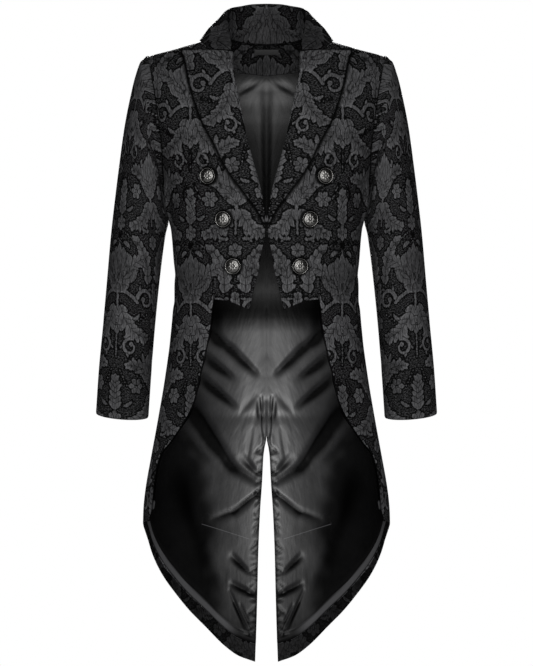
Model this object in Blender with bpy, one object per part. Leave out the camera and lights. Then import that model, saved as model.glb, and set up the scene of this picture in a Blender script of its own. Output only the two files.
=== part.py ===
"""A man's tailcoat in brocade, filled out as it is worn, with nothing inside it.

Lengths are in millimetres until a mesh is made, which is in metres. +Z is up, the front faces -Y, and the
wearer's left is +X. The origin is the middle of the shoulders, where the coat is carried. Every place on the
coat's body is an angle and a height: 0 degrees is the centre front, 90 the side and 180 the centre back.
"""
import math

import bmesh
import bpy
import numpy as np
from mathutils import Vector

MM = 0.001

# Driving sizes
CLOTH = 2.0
LINING = 1.0
LINING_GAP = 0.5
EDGE_GAP = 0.4
SEAM = 0.12
HOOK_HEIGHT = -316.0
BUTTON_RADIUS = 13.5
BUTTON_HEIGHT = 9.5
LABEL = (42.0, 10.0, 0.5)
LABEL_HEIGHT = 6.0

# Counts of grid cells
ARMHOLE_STEP = 20
FRONT_COLUMNS = 9
WAIST_ROWS = 5
SKIRT_ROWS = 8
SHOULDER_ROWS = 3
BACK_COLUMNS = 7
LAPEL_COLUMNS = 5
LAPEL_ROWS = 13
BUTTON_SEGMENTS = 16

# Level sections of the body: height, half width at the side, depth of the front, depth of the back, squareness
BODY = np.array([
    (-1080, 213.2, 115, 142, 2.00),
    (-850, 212.7, 115, 138, 2.00),
    (-795, 211.7, 116, 137, 2.00),
    (-722, 203.2, 118, 134, 2.05),
    (-637, 186.8, 119, 129, 2.10),
    (-561, 171.7, 118, 120, 2.20),
    (-460, 160.4, 117, 105, 2.20),
    (-400, 157.8, 118, 99, 2.20),
    (-334, 161.4, 123, 102, 2.25),
    (-225, 178.0, 128, 116, 2.35),
    (-120, 199.0, 118, 119, 2.40),
    (-80, 206.0, 109, 114, 2.30),
    (-50, 208.5, 98, 108, 2.20),
    (-30, 207.8, 85, 100, 2.10),
    (-14, 203.8, 70, 90, 2.00),
    (0, 159.0, 61, 83, 2.00),
    (12, 118.0, 55, 77, 2.00),
    (22, 80.0, 50, 71, 2.00),
    (36, 66.0, 45, 66, 2.00),
])

# Lines on the body, each row an angle and a height
NECKLINE_FRONT = [(90.0, 25), (66, 12), (43, -10)]
NECKLINE_BACK = [(180, 17), (150, 19), (120, 23), (90, 25)]
SHOULDER_SEAM = [(90, 25), (90, -14)]
ROLL_LINE = [(42.9, -10.3), (33.9, -34.5), (27.4, -66.7), (20.9, -113.7), (16, -158), (10.2, -205), (5.8, -240.7),
             (3.2, -271.9), (0.9, -302.4)]
FRONT_EDGE = [(0.9, -302.4), (1.5, -324), (4.2, -354), (6.1, -380.7), (9, -402.9), (13.9, -447.5)]
FRONT_HEM = [(13.9, -447.5), (22.1, -439.6), (32.4, -431.9), (41.5, -429.4)]
FRONT_SEAM = [(60, -232), (50, -300), (44, -370), (41.5, -429.4)]
CUT_AWAY = [(41.5, -429.4), (44, -481), (46.5, -515), (49.9, -557), (52.4, -592), (55.6, -616), (61.9, -646),
            (68.2, -672), (74.5, -694), (77, -728), (77.4, -783), (79.5, -806)]
BACK_SEAM = [(118, -300), (124, -410), (130, -600), (134, -800), (136, -991)]
TAIL_HEM = [(79.5, -806), (90, -818), (97, -829), (104, -868), (111.6, -905), (119.8, -937.7), (129, -970), (136, -991),
            (151.2, -1034.9), (159.8, -1053), (171, -1068)]
VENT = [(180, -668), (177.3, -698), (175.9, -747), (173.8, -809), (172.5, -876), (172, -942), (171.5, -1009),
        (171, -1068)]
LAPEL_TOP = [(41.6, -13.6), (60.3, -11.0), (72.6, -9.0)]
LAPEL_EDGE = [(72.6, -9.0), (62.1, -37.4), (55.4, -69.8), (50.1, -101.4), (45, -132.6), (40.9, -152.7),
              (36.6, -172.5), (33.1, -191.2), (24, -229.3), (14.6, -258.5), (4.8, -289.6), (2.6, -301.5)]
FACING_WIDTH = 18.0
NECK_FACING_FOOT = -34.0

# The armhole seen from the side: its middle in depth and height, and its half sizes
ARMHOLE_Y, ARMHOLE_Z = 9.0, -129.0
ARMHOLE_HALF_DEPTH, ARMHOLE_HALF_HEIGHT = 66.0, 115.0
FRONT_SEAM_AT = -100
BACK_SEAM_AT = 120

# Sections of a sleeve: outer x and height, inner x and height, middle in depth, half depth
SLEEVE = np.array([
    (214.6, -17.8, 176.6, -252.0, 8, 69),
    (224.6, -42.0, 174.8, -262.0, 7, 72),
    (232.2, -80.7, 172.6, -276.0, 5, 73),
    (244.2, -134.0, 171.8, -294.0, 3, 73),
    (252.7, -196.0, 175.0, -316.0, 2, 72),
    (260.2, -254.0, 178.6, -345.0, 0, 71),
    (265.2, -309.0, 182.6, -383.0, -2, 68),
    (272.2, -410.0, 189.2, -450.0, -7, 62),
    (278.7, -480.0, 194.6, -507.0, -12, 57),
    (285.2, -550.0, 199.2, -562.0, -18, 52),
    (291.2, -622.6, 203.7, -630.0, -26, 47),
])
CUFF_DIP = 6.0
SLEEVE_SEAM_AT = 120

# The collar round the neck: angle of its seam, top of the fold, middle of the fall, edge of the fall
COLLAR = [
    (43, (60.5, -67, -7), (98.5, -59, -3.5), (113, -22, 18)),
    (58, (65.0, -44, 20), (94.0, -32, 20), (114, -8, 18)),
    (75, (68.0, -20, 46), (93.0, -8, 38), (113.5, 8, 17)),
    (90, (67.0, 8, 64), (89.5, 17, 44), (109.5, 28, 17)),
    (115, (60.0, 33, 75), (77.0, 45, 48), (92, 56, 14)),
    (140, (43.0, 51, 82), (55.0, 66, 49), (66, 75, 9)),
    (160, (24.0, 59, 86), (31.0, 74, 50), (36, 83, 8)),
    (180, (0.0, 61, 87), (0.0, 77, 50), (0, 86, 8)),
]
COLLAR_STATIONS = 13
FOLD_RADIUS = 4.0

# Buttons on the left front: angle, height and how far the shank stands off the cloth's curve
BUTTONS = [(40.5, -222.9, -0.4), (31.5, -295.4, 0.2), (25.8, -373.9, 0.4)]
# Turned profile of a button: share of its radius, share of its height
BUTTON_PROFILE = [(0.0, 0.0), (0.3, 0.0), (0.3, 0.22), (0.93, 0.24), (1.0, 0.36), (0.96, 0.52), (0.84, 0.56),
                  (0.74, 0.72), (0.45, 0.92), (0.0, 1.0)]


def remove_everything():
    """Empties the scene."""
    for thing in list(bpy.data.objects):
        bpy.data.objects.remove(thing, do_unlink=True)


def smooth_curve(at, values, where):
    """A curve through the values that never overshoots them."""
    at = np.asarray(at, float)
    values = np.asarray(values, float)
    where = np.clip(np.asarray(where, float), at[0], at[-1])
    step = np.diff(at)
    rise = np.diff(values) / step
    slope = np.concatenate([[rise[0]], np.zeros(len(at) - 2), [rise[-1]]])
    for k in range(1, len(at) - 1):
        if rise[k - 1] * rise[k] > 0:
            weight = (2 * step[k] + step[k - 1], step[k] + 2 * step[k - 1])
            slope[k] = sum(weight) / (weight[0] / rise[k - 1] + weight[1] / rise[k])
    k = np.clip(np.searchsorted(at, where) - 1, 0, len(step) - 1)
    t = (where - at[k]) / step[k]
    return ((1 + 2 * t) * (1 - t) ** 2 * values[k] + t * (1 - t) ** 2 * step[k] * slope[k]
            + t * t * (3 - 2 * t) * values[k + 1] + t * t * (t - 1) * step[k] * slope[k + 1])


def body_point(angle, height):
    """The point of the body's outside at an angle and a height."""
    half, front, back, power = (smooth_curve(BODY[:, 0], BODY[:, c], height) for c in range(1, 5))
    turn = np.radians(angle)
    depth = np.where(np.abs(np.asarray(angle)) <= 90, front, back)
    sideways = np.abs(np.sin(turn)) / half
    forward = np.abs(np.cos(turn)) / depth
    reach = (sideways ** power + forward ** power) ** (-1 / power)
    return np.stack([reach * np.sin(turn), -reach * np.cos(turn), height + 0 * turn], axis=-1)


def body_normal(angle, height):
    """The outward direction of the body's outside."""
    round_it = body_point(angle + 0.5, height) - body_point(angle - 0.5, height)
    up_it = body_point(angle, height + 1.0) - body_point(angle, height - 1.0)
    normal = np.cross(round_it, up_it)
    return normal / np.linalg.norm(normal, axis=-1, keepdims=True)


def on_body(places, out=0.0):
    """Points of a grid of angles and heights, moved outward by a distance."""
    places = np.asarray(places, float)
    angle, height = places[..., 0], places[..., 1]
    return body_point(angle, height) + body_normal(angle, height) * np.asarray(out)[..., None]


def armhole(turn, grow=0.0):
    """Angle and height of the armhole's edge, at a turn round it: 0 is the top, 90 the back."""
    turn = np.radians(np.asarray(turn, float))
    y = ARMHOLE_Y + (ARMHOLE_HALF_DEPTH + grow) * np.sin(turn)
    z = ARMHOLE_Z + (ARMHOLE_HALF_HEIGHT + grow) * np.cos(turn)
    half, front, back, power = (smooth_curve(BODY[:, 0], BODY[:, c], z) for c in range(1, 5))
    depth = np.where(y < 0, front, back)
    x = half * (1 - (np.abs(y) / depth) ** power) ** (1 / power)
    return np.stack([np.degrees(np.arctan2(x, -y)), z], axis=-1)


def along(points, count):
    """A smooth line through angles and heights, at evenly spaced places."""
    points = np.asarray(points, float)
    steps = np.diff(points, axis=0) * (2.4, 1.0)
    length = np.concatenate([[0], np.cumsum(np.linalg.norm(steps, axis=1))])
    where = np.linspace(0, length[-1], count + 1)
    return np.stack([smooth_curve(length, points[:, c], where) for c in (0, 1)], axis=-1)


def patch(top, bottom, left, right):
    """A grid of places filled in between four edges. Top and bottom run left to right, the sides run down."""
    u = np.linspace(0, 1, len(top))[None, :, None]
    v = np.linspace(0, 1, len(left))[:, None, None]
    corners = ((1 - u) * (1 - v) * top[0] + u * (1 - v) * top[-1] + (1 - u) * v * bottom[0] + u * v * bottom[-1])
    return ((1 - v) * top[None] + v * bottom[None] + (1 - u) * left[:, None] + u * right[:, None] - corners)


def join_lines(*lines):
    """Lines end to end, with each shared point once."""
    return np.concatenate([lines[0]] + [line[1:] for line in lines[1:]])


def material(name, colour, roughness, metallic=0.0):
    """A plain material."""
    made = bpy.data.materials.new(name)
    made.use_nodes = True
    shader = made.node_tree.nodes["Principled BSDF"]
    shader.inputs["Base Color"].default_value = (*colour, 1.0)
    shader.inputs["Roughness"].default_value = roughness
    shader.inputs["Metallic"].default_value = metallic
    made.diffuse_color = (*colour, 1.0)
    return made


def add_object(name, points, faces, look):
    """An object from points in millimetres, with its faces turned outward."""
    mesh = bpy.data.meshes.new(name)
    mesh.from_pydata([tuple(p) for p in np.asarray(points) * MM], [], faces)
    work = bmesh.new()
    work.from_mesh(mesh)
    if work.calc_volume(signed=True) < 0:
        bmesh.ops.reverse_faces(work, faces=work.faces[:])
    bmesh.ops.triangulate(work, faces=work.faces[:])
    work.to_mesh(mesh)
    work.free()
    mesh.polygons.foreach_set("use_smooth", [True] * len(mesh.polygons))
    mesh.set_sharp_from_angle(angle=math.radians(50))
    thing = bpy.data.objects.new(name, mesh)
    thing.data.materials.append(look)
    bpy.context.scene.collection.objects.link(thing)
    return thing


def wall(name, outer, inner, look, turned=()):
    """A closed wall between two grids of points that match. Diagonals run the other way in the turned columns."""
    rows, columns = outer.shape[:2]
    points = np.concatenate([outer.reshape(-1, 3), inner.reshape(-1, 3)])
    half = rows * columns
    number = np.arange(half).reshape(rows, columns)
    faces = []
    for r in range(rows - 1):
        for c in range(columns - 1):
            quad = [int(number[r, c]), int(number[r, c + 1]), int(number[r + 1, c + 1]), int(number[r + 1, c])]
            if c in turned:
                quad = quad[1:] + quad[:1]
            for triangle in ((quad[0], quad[1], quad[2]), (quad[0], quad[2], quad[3])):
                faces.append(triangle)
                faces.append([k + half for k in reversed(triangle)])
    rim = list(number[0, :]) + list(number[1:, -1]) + list(number[-1, -2::-1]) + list(number[-2:0:-1, 0])
    for k, here in enumerate(rim):
        after = rim[(k + 1) % len(rim)]
        faces.append([int(after), int(here), int(here) + half, int(after) + half])
    return add_object(name, points, faces, look)


def mirrored(points):
    """The same points on the wearer's right."""
    return points * np.array([-1.0, 1.0, 1.0])


def pair(name, outer, inner, look, turned=()):
    """A wall on the wearer's left and its mirror image on the right."""
    wall(name + "_left", outer, inner, look, turned)
    wall(name + "_right", mirrored(outer), mirrored(inner), look, turned)


def shifted(line, degrees):
    """A line moved round the body by an angle."""
    return np.asarray(line) + (degrees, 0.0)


def seam_lines():
    """The seams that panels share, sampled once so that both sides match."""
    front_arc = armhole(np.arange(0, FRONT_SEAM_AT - 1, -ARMHOLE_STEP))
    side_arc = armhole(np.arange(FRONT_SEAM_AT, BACK_SEAM_AT - 361, -ARMHOLE_STEP))
    back_arc = armhole(np.arange(0, BACK_SEAM_AT + 1, ARMHOLE_STEP))
    front_seam = along([tuple(front_arc[-1])] + FRONT_SEAM, WAIST_ROWS)
    waist = np.array(BACK_SEAM[1])
    upper = along([tuple(back_arc[-1])] + BACK_SEAM[:2], WAIST_ROWS)
    whole = along([tuple(waist)] + BACK_SEAM[2:], 200)
    end = int(np.argmin(np.abs(whole[:, 1] - (BACK_SEAM[-1][1] + FACING_WIDTH))))
    lower = np.concatenate([along(whole[:end + 1:20], SKIRT_ROWS), whole[-1:]])
    return front_arc, side_arc, back_arc, front_seam, join_lines(upper, lower)


def front_places():
    """The front: shoulder seam at the top, neckline and front edge at the left."""
    front_arc, _, _, front_seam, _ = seam_lines()
    rows = len(front_arc) - 1 + WAIST_ROWS
    top = shifted(along(SHOULDER_SEAM, FRONT_COLUMNS), -SEAM)
    top[-1] = front_arc[0] - (SEAM, 0)
    neck = along([(90 - SEAM, 25)] + NECKLINE_FRONT[1:], 3)
    edge = along(ROLL_LINE + FRONT_EDGE[1:], rows - 3)
    left = join_lines(neck, edge)
    right = shifted(join_lines(front_arc, front_seam), -SEAM)
    bottom = along(FRONT_HEM, FRONT_COLUMNS)
    bottom[0], bottom[-1] = left[-1], right[-1]
    top[0] = left[0]
    return patch(top, bottom, left, right)


def side_places():
    """The side body: armhole at the top, cut-away edge at the left, hem of the tail at the foot."""
    _, side_arc, _, front_seam, back_seam = seam_lines()
    cut = along(CUT_AWAY, 120)
    last = int(np.argmin(np.abs(cut[:, 1] - (CUT_AWAY[-1][1] + FACING_WIDTH))))
    lower = np.concatenate([along(cut[:last + 1:6], SKIRT_ROWS), cut[-1:]])
    left = join_lines(shifted(front_seam, SEAM), shifted(lower, SEAM * 0.5))
    right = shifted(back_seam, -SEAM)
    columns = len(side_arc) - 1
    hem = [p for p in TAIL_HEM if p[0] <= 136]
    bottom = along(hem, columns)
    top = side_arc.copy()
    top[0], top[-1] = left[0], right[0]
    bottom[0], bottom[-1] = left[-1], right[-1]
    return patch(top, bottom, left, right)


def back_places():
    """The back: neckline at the top, centre back and vent at the left, shoulder seam and armhole at the right."""
    _, _, back_arc, _, back_seam = seam_lines()
    top = along([(180 - SEAM, 17)] + NECKLINE_BACK[1:3] + [(90 + SEAM, 25)], BACK_COLUMNS)
    shoulder = along([tuple(top[-1]), (90 + SEAM, -14)], SHOULDER_ROWS)
    lower = shifted(join_lines(back_arc, back_seam), SEAM)
    right = np.concatenate([shoulder[:-1], lower])
    inner = 180 - SEAM
    centre = join_lines(along([(inner, 17), (inner, NECK_FACING_FOOT)], SHOULDER_ROWS),
                        along([(inner, NECK_FACING_FOOT), (inner, -215)], len(back_arc) - 1),
                        along([(inner, -215), (inner, -435)], WAIST_ROWS))
    vent = along([(inner, -435), (inner, -560), (inner, -668)] + VENT[1:], 200)
    end = int(np.argmin(np.abs(vent[:, 1] - (TAIL_HEM[-1][1] + FACING_WIDTH))))
    left = np.concatenate([join_lines(centre, along(vent[:end + 1:12], SKIRT_ROWS)), vent[-1:]])
    bottom = along([p for p in reversed(TAIL_HEM) if p[0] >= 136], BACK_COLUMNS)
    bottom[0], bottom[-1] = left[-1], right[-1]
    return patch(top, bottom, left, right)


def trimmed(places, top=0.0, foot=0.0):
    """The same grid with its first and last rows moved inward by a distance."""
    made = places.copy()
    for end, beside, distance in ((0, 1, top), (-1, -2, foot)):
        step = places[beside] - places[end]
        length = np.linalg.norm(step * (2.4, 1.0), axis=-1, keepdims=True)
        made[end] = places[end] + step * distance / length
    return made


def panel(name, places, look):
    """A panel of the outer cloth on both sides."""
    pair(name, on_body(places), on_body(places, -CLOTH), look)


def lining(name, places, look):
    """A panel of the thin cloth inside the outer cloth, on both sides."""
    out = -CLOTH - LINING_GAP
    pair(name, on_body(places, out), on_body(places, out - LINING), look)


def neck_facing(places, look):
    """The brocade band inside the back neck, in one piece across the centre."""
    out = -CLOTH - LINING_GAP
    rows = trimmed(places[:SHOULDER_ROWS + 1], top=EDGE_GAP)
    whole = []
    for depth in (out, out - LINING):
        left = on_body(rows, depth)
        right = mirrored(left)[:, ::-1]
        middle = (left[:, :1] + right[:, -1:]) / 2
        whole.append(np.concatenate([right[:, :-1], middle, left[:, 1:]], axis=1))
    wall("neck_facing", whole[0], whole[1], look, turned=range(rows.shape[1] - 1))


def tail_facing(side, back, look):
    """The border of outer cloth inside the curved hem of a tail."""
    out = -CLOTH - LINING_GAP
    strip = trimmed(np.concatenate([side[-2:, :-1], back[-2:, ::-1]], axis=1), top=2 * EDGE_GAP)
    turned = range(side.shape[1] - 1, strip.shape[1])
    pair("tail_facing", on_body(strip, out), on_body(strip, out - LINING), look, turned)


def lapel(look):
    """The turned-back lapel. It lies on the front and bellies out behind the roll."""
    fold = along(LAPEL_TOP[:1] + ROLL_LINE[1:], LAPEL_ROWS)
    edge = along(LAPEL_EDGE, LAPEL_ROWS)
    top = along(LAPEL_TOP, LAPEL_COLUMNS)
    bottom = np.linspace(fold[-1], edge[-1], LAPEL_COLUMNS + 1)
    top[0], top[-1] = fold[0], edge[0]
    places = patch(top, bottom, fold, edge)
    across = np.linspace(0, 1, LAPEL_COLUMNS + 1)[None, :]
    down = np.linspace(0, 1, LAPEL_ROWS + 1)[:, None]
    belly = 0.7 + 3.0 * np.sin(np.pi * np.minimum(across + 0.12, 1.0)) * (1 - 0.75 * down)
    pair("lapel", on_body(places, belly + CLOTH), on_body(places, belly), look)


def sleeve_rings():
    """Rings of points down a sleeve, from the armhole to the cuff."""
    turns = np.arange(0, 361, ARMHOLE_STEP)
    places = armhole(turns, -2.0)
    rings = [body_point(places[:, 0], places[:, 1])]
    turn = np.radians(turns)
    for k, (outer_x, outer_z, inner_x, inner_z, middle, half) in enumerate(SLEEVE):
        outer = np.array([outer_x, middle, outer_z])
        inner = np.array([inner_x, middle, inner_z])
        centre, reach = (outer + inner) / 2, (outer - inner) / 2
        ring = centre + np.cos(turn)[:, None] * reach + np.sin(turn)[:, None] * np.array([0, half, 0])
        if k == len(SLEEVE) - 1:
            ring[:, 2] += CUFF_DIP * np.minimum(np.sin(turn), 0)
        rings.append(ring)
    return np.array(rings)


def grid_normals(grid, closed):
    """Directions square to a grid of points that runs round a tube."""
    if closed:
        round_it = np.roll(grid[:, :-1], -1, axis=1) - np.roll(grid[:, :-1], 1, axis=1)
        round_it = np.concatenate([round_it, round_it[:, :1]], axis=1)
    else:
        round_it = np.gradient(grid, axis=1)
    normal = np.cross(np.gradient(grid, axis=0), round_it)
    return normal / np.linalg.norm(normal, axis=-1, keepdims=True)


def sleeve(look):
    """A two-piece sleeve: the top sleeve, and the under sleeve next to the body."""
    rings = sleeve_rings()
    normals = grid_normals(rings, closed=True)
    middle = rings.mean(axis=1, keepdims=True)
    if np.sum(normals * (rings - middle)) < 0:
        normals = -normals
    first = body_normal(*armhole(np.arange(0, 361, ARMHOLE_STEP), -2.0).T)
    blend = normals[0] + first * 3 * np.maximum(first[:, 2:3], 0)
    normals[0] = blend / np.linalg.norm(blend, axis=-1, keepdims=True)
    inside = rings - normals * CLOTH
    split = SLEEVE_SEAM_AT // ARMHOLE_STEP
    order = np.concatenate([np.arange(-split, 0) - 1, np.arange(0, split + 1)])
    parts = {"top_sleeve": order, "under_sleeve": np.arange(split, rings.shape[1] - split)}
    for name, columns in parts.items():
        outer, inner = rings[:, columns].copy(), inside[:, columns].copy()
        for grid in (outer, inner):
            for end, beside in ((0, 1), (-1, -2)):
                inward = grid[:, beside] - grid[:, end]
                inward = inward / np.linalg.norm(inward, axis=-1, keepdims=True)
                grid[:, end] += inward * 0.2
        pair(name, outer, inner, look)


def collar_profiles():
    """The collar's shown face at each station: up inside the stand, over the fold and down the fall."""
    angles = np.array([row[0] for row in COLLAR], float)
    where = np.linspace(angles[0], angles[-1], COLLAR_STATIONS + 1)
    fold, fall, edge = (np.stack([smooth_curve(angles, [row[k][c] for row in COLLAR], where) for c in range(3)],
                                 axis=-1) for k in (1, 2, 3))
    neck_height = smooth_curve([43, 66, 90, 120, 150, 180], [-10, 12, 25, 23, 19, 17], where)
    lift = smooth_curve([43, 58, 75, 180], [CLOTH + 0.9, 2.2, 0.8, 0.7], where)
    seam = on_body(np.stack([where, neck_height], axis=-1), lift)
    outward = (edge - fold) * (1, 1, 0)
    outward = outward / np.linalg.norm(outward, axis=-1, keepdims=True)
    stand = fold - seam
    drop = np.minimum(np.linalg.norm(stand, axis=-1, keepdims=True) * 0.4, 6.0) * (0, 0, 1)
    profile = [seam, seam + stand * 0.45 - outward * 1.5, fold - outward * FOLD_RADIUS - drop, fold - outward * 1.5,
               fold + outward * 2.5 - (0, 0, 1.2), fold * 0.62 + fall * 0.38 + outward * 1.5, fall,
               fall * 0.45 + edge * 0.55 + (0, 0, 1.0), edge]
    profile = np.array(profile)
    flat = [seam[0], seam[0] * 0.6 + fold[0] * 0.4, seam[0] * 0.3 + fold[0] * 0.7, fold[0],
            fold[0] * 0.9 + fall[0] * 0.1, fold[0] * 0.55 + fall[0] * 0.45, fall[0],
            fall[0] * 0.45 + edge[0] * 0.55, edge[0]]
    profile[:, 0] = flat
    return profile


def collar(look):
    """The collar, one wall that stands round the neck and turns down on the outside."""
    left = collar_profiles()
    right = mirrored(left)[:, ::-1]
    whole = np.concatenate([left, right[:, 1:]], axis=1)
    normals = grid_normals(whole, closed=False)
    if normals[3:5, :, 2].mean() < 0:
        normals = -normals
    wall("collar", whole, whole - normals * CLOTH, look)


def button(name, place, side, look):
    """A domed button that sits square on the front."""
    lift = place[2]
    place = np.array(place[:2])
    centre = on_body(place[None], lift)[0]
    out = body_normal(place[None, 0], place[None, 1])[0]
    centre[0] *= side
    out[0] *= side
    points, faces = [], []
    for share, rise in BUTTON_PROFILE:
        if share == 0.0:
            points.append((0, 0, rise * BUTTON_HEIGHT))
            continue
        for k in range(BUTTON_SEGMENTS):
            turn = math.tau * k / BUTTON_SEGMENTS
            points.append((share * BUTTON_RADIUS * math.cos(turn), share * BUTTON_RADIUS * math.sin(turn),
                           rise * BUTTON_HEIGHT))
    rings = len(BUTTON_PROFILE) - 2
    for k in range(BUTTON_SEGMENTS):
        after = (k + 1) % BUTTON_SEGMENTS
        faces.append([0, 1 + after, 1 + k])
        last = 1 + (rings - 1) * BUTTON_SEGMENTS
        faces.append([last + k, last + after, len(points) - 1])
        for ring in range(rings - 1):
            low, high = 1 + ring * BUTTON_SEGMENTS, 1 + (ring + 1) * BUTTON_SEGMENTS
            faces.append([low + k, low + after, high + after, high + k])
    turn = Vector((0, 0, 1)).rotation_difference(Vector(out)).to_matrix()
    placed = [Vector(centre) + turn @ Vector(p) for p in points]
    add_object(name, placed, faces, look)


def block(name, centre, size, look):
    """A plain block."""
    signs = [(x, y, z) for x in (-0.5, 0.5) for y in (-0.5, 0.5) for z in (-0.5, 0.5)]
    points = [[at + s * length for at, s, length in zip(centre, sign, size)] for sign in signs]
    faces = [(0, 1, 3, 2), (4, 6, 7, 5), (0, 4, 5, 1), (2, 3, 7, 6), (0, 2, 6, 4), (1, 5, 7, 3)]
    add_object(name, points, faces, look)


def at_height(column, height):
    """The point of a column of points at a height."""
    order = np.argsort(column[:, 2])
    return np.array([np.interp(height, column[order, 2], column[order, c]) for c in range(3)])


def label(places, look):
    """The bare label sewn to the neck facing."""
    rows = places[:SHOULDER_ROWS + 1, :2]
    inner = on_body(rows, -CLOTH - LINING_GAP - LINING)
    inner[:, 0, 0] = 0.0
    away = body_normal(np.array([180.0]), np.array([LABEL_HEIGHT]))[0]
    layers = []
    for out in (-0.6, -0.6 - LABEL[2]):
        grid = []
        for share in (0.5, -0.5):
            height = LABEL_HEIGHT + share * LABEL[1] * away[1]
            middle, beside = at_height(inner[:, 0], height), at_height(inner[:, 1], height)
            end = middle + (beside - middle) * LABEL[0] / 2 / beside[0]
            grid.append([mirrored(end), middle, end])
        layers.append(np.array(grid) + away * out)
    wall("label", layers[0], layers[1], look)


def hook_and_eye(look):
    """The hook on the left front and the eye on the right front, behind the edges."""
    surface = on_body(np.array([[0.9, HOOK_HEIGHT]]))[0]
    y = surface[1] + CLOTH + 1.1
    block("hook", (4.0, y, HOOK_HEIGHT), (11.0, 1.2, 3.0), look)
    block("eye", (-6.5, y, HOOK_HEIGHT), (9.0, 1.2, 6.0), look)


def main():
    """Makes every piece of the coat."""
    remove_everything()
    brocade = material("brocade", (0.020, 0.020, 0.022), 0.75)
    satin = material("satin", (0.035, 0.035, 0.038), 0.30)
    silver = material("antique_silver", (0.42, 0.41, 0.39), 0.35, 1.0)
    black_metal = material("black_metal", (0.02, 0.02, 0.02), 0.40, 1.0)
    tape = material("label_cloth", (0.015, 0.015, 0.016), 0.60)
    front, side, back = front_places(), side_places(), back_places()
    panel("front", front, brocade)
    panel("side_body", side, brocade)
    panel("back", back, brocade)
    sleeve(brocade)
    collar(brocade)
    lapel(brocade)
    neck_facing(back, brocade)
    tail_facing(side, back, brocade)
    lining("side_lining", trimmed(side[:-1], top=EDGE_GAP), satin)
    lining("back_lining", trimmed(back[SHOULDER_ROWS:-1], top=EDGE_GAP), satin)
    label(back, tape)
    for number, place in enumerate(BUTTONS, start=1):
        button(f"button_left_{number}", place, 1, silver)
        button(f"button_right_{number}", place, -1, silver)
    hook_and_eye(black_metal)


main()
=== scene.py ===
"""The looks of a man's tailcoat in black brocade, filled out and hollow.

Lengths are in millimetres until a mesh is made, which is in metres. Places on the coat's body are an angle
and a height, as in the model: 0 degrees is the centre front, 90 the side and 180 the centre back.
"""
import math

import bpy
import numpy as np
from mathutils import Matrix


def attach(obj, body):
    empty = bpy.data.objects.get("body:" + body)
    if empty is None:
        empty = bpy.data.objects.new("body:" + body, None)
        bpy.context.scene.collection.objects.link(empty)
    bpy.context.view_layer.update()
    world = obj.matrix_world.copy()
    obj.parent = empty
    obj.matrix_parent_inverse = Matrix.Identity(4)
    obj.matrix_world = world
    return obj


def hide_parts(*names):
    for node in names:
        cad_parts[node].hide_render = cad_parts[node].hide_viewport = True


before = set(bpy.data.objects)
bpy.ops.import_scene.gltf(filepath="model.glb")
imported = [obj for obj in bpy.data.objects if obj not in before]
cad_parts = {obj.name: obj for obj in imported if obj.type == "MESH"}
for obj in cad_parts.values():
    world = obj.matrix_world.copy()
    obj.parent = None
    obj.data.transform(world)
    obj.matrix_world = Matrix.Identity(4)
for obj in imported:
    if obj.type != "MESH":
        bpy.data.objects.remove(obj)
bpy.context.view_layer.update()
MM = 0.001

# Driving sizes of the cloth
CLOTH = 2.0
LINING = 0.8
LINING_GAP = 0.7
SEAM = 0.10
EDGE_DIP = 0.7
EDGE_WIDTH = 3.2
FACING_WIDTH = 18.0
NECK_FACING_FOOT = -34.0
HEM_PUFF_WIDTH = 15.5
# How far the facings' face and back lie inside the outer cloth's face
FACING_FACE = -CLOTH - LINING_GAP - LINING
FACING_BACK = -CLOTH - LINING_GAP
# Every how many points of the outer grid the inner one takes, and what turns the left side into the right
INNER_SKIP = 2
MIRROR = np.array([-1.0, 1.0, 1.0])

# The photograph's view
FRAME_HEIGHT_PX = 666
MM_PER_PX = 1.7173
CAMERA_DISTANCE = 4500.0
CAMERA_HEIGHT = -486.0
SENSOR = 36.0
FLOOR_HEIGHT = -1450.0
FLOOR_HALF = 2.9

# Level sections of the body: height, half width at the side, depth of front and of back, squareness
BODY = np.array([
    (-1080, 213.2, 115, 142, 2.00),
    (-850, 212.7, 115, 138, 2.00),
    (-795, 211.7, 116, 137, 2.00),
    (-722, 203.2, 118, 134, 2.05),
    (-637, 188.6, 119, 129, 2.10),
    (-561, 175.4, 118, 120, 2.20),
    (-460, 161.8, 117, 105, 2.20),
    (-400, 158.1, 118, 99, 2.20),
    (-334, 161.4, 123, 102, 2.25),
    (-225, 178.0, 128, 116, 2.35),
    (-120, 199.0, 118, 119, 2.40),
    (-80, 206.0, 109, 114, 2.30),
    (-50, 208.5, 98, 108, 2.20),
    (-30, 207.8, 85, 100, 2.10),
    (-14, 203.8, 70, 90, 2.00),
    (0, 159.0, 61, 83, 2.00),
    (12, 118.0, 55, 77, 2.00),
    (22, 80.0, 50, 71, 2.00),
    (36, 66.0, 45, 66, 2.00),
])

# Lines on the body, each row an angle and a height
NECKLINE_FRONT = [(90.0, 25), (66, 12), (43, -10)]
NECKLINE_BACK = [(180, 17), (150, 19), (120, 23), (90, 25)]
SHOULDER_SEAM = [(90, 25), (90, -14)]
ROLL_LINE = [(42.9, -10.3), (33.9, -34.5), (27.4, -66.7), (20.9, -113.7), (16, -158), (10.2, -205),
             (5.8, -240.7), (3.2, -271.9), (0.9, -302.4)]
FRONT_EDGE = [(0.9, -302.4), (1.5, -324), (4.2, -354), (6.1, -380.7), (9, -402.9), (13.9, -447.5)]
FRONT_HEM = [(13.9, -447.5), (22.1, -439.6), (32.4, -431.9), (41.5, -429.4)]
FRONT_SEAM = [(60, -232), (50, -300), (44, -370), (41.5, -429.4)]
CUT_AWAY = [(41.5, -429.4), (44, -481), (46.5, -515), (49.9, -557), (52.4, -592), (55.6, -616), (61.9, -646),
            (68.2, -672), (74.5, -694), (77, -728), (77.4, -783), (79.5, -806)]
BACK_SEAM = [(118, -300), (124, -410), (130, -600), (134, -800), (136, -997)]
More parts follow.
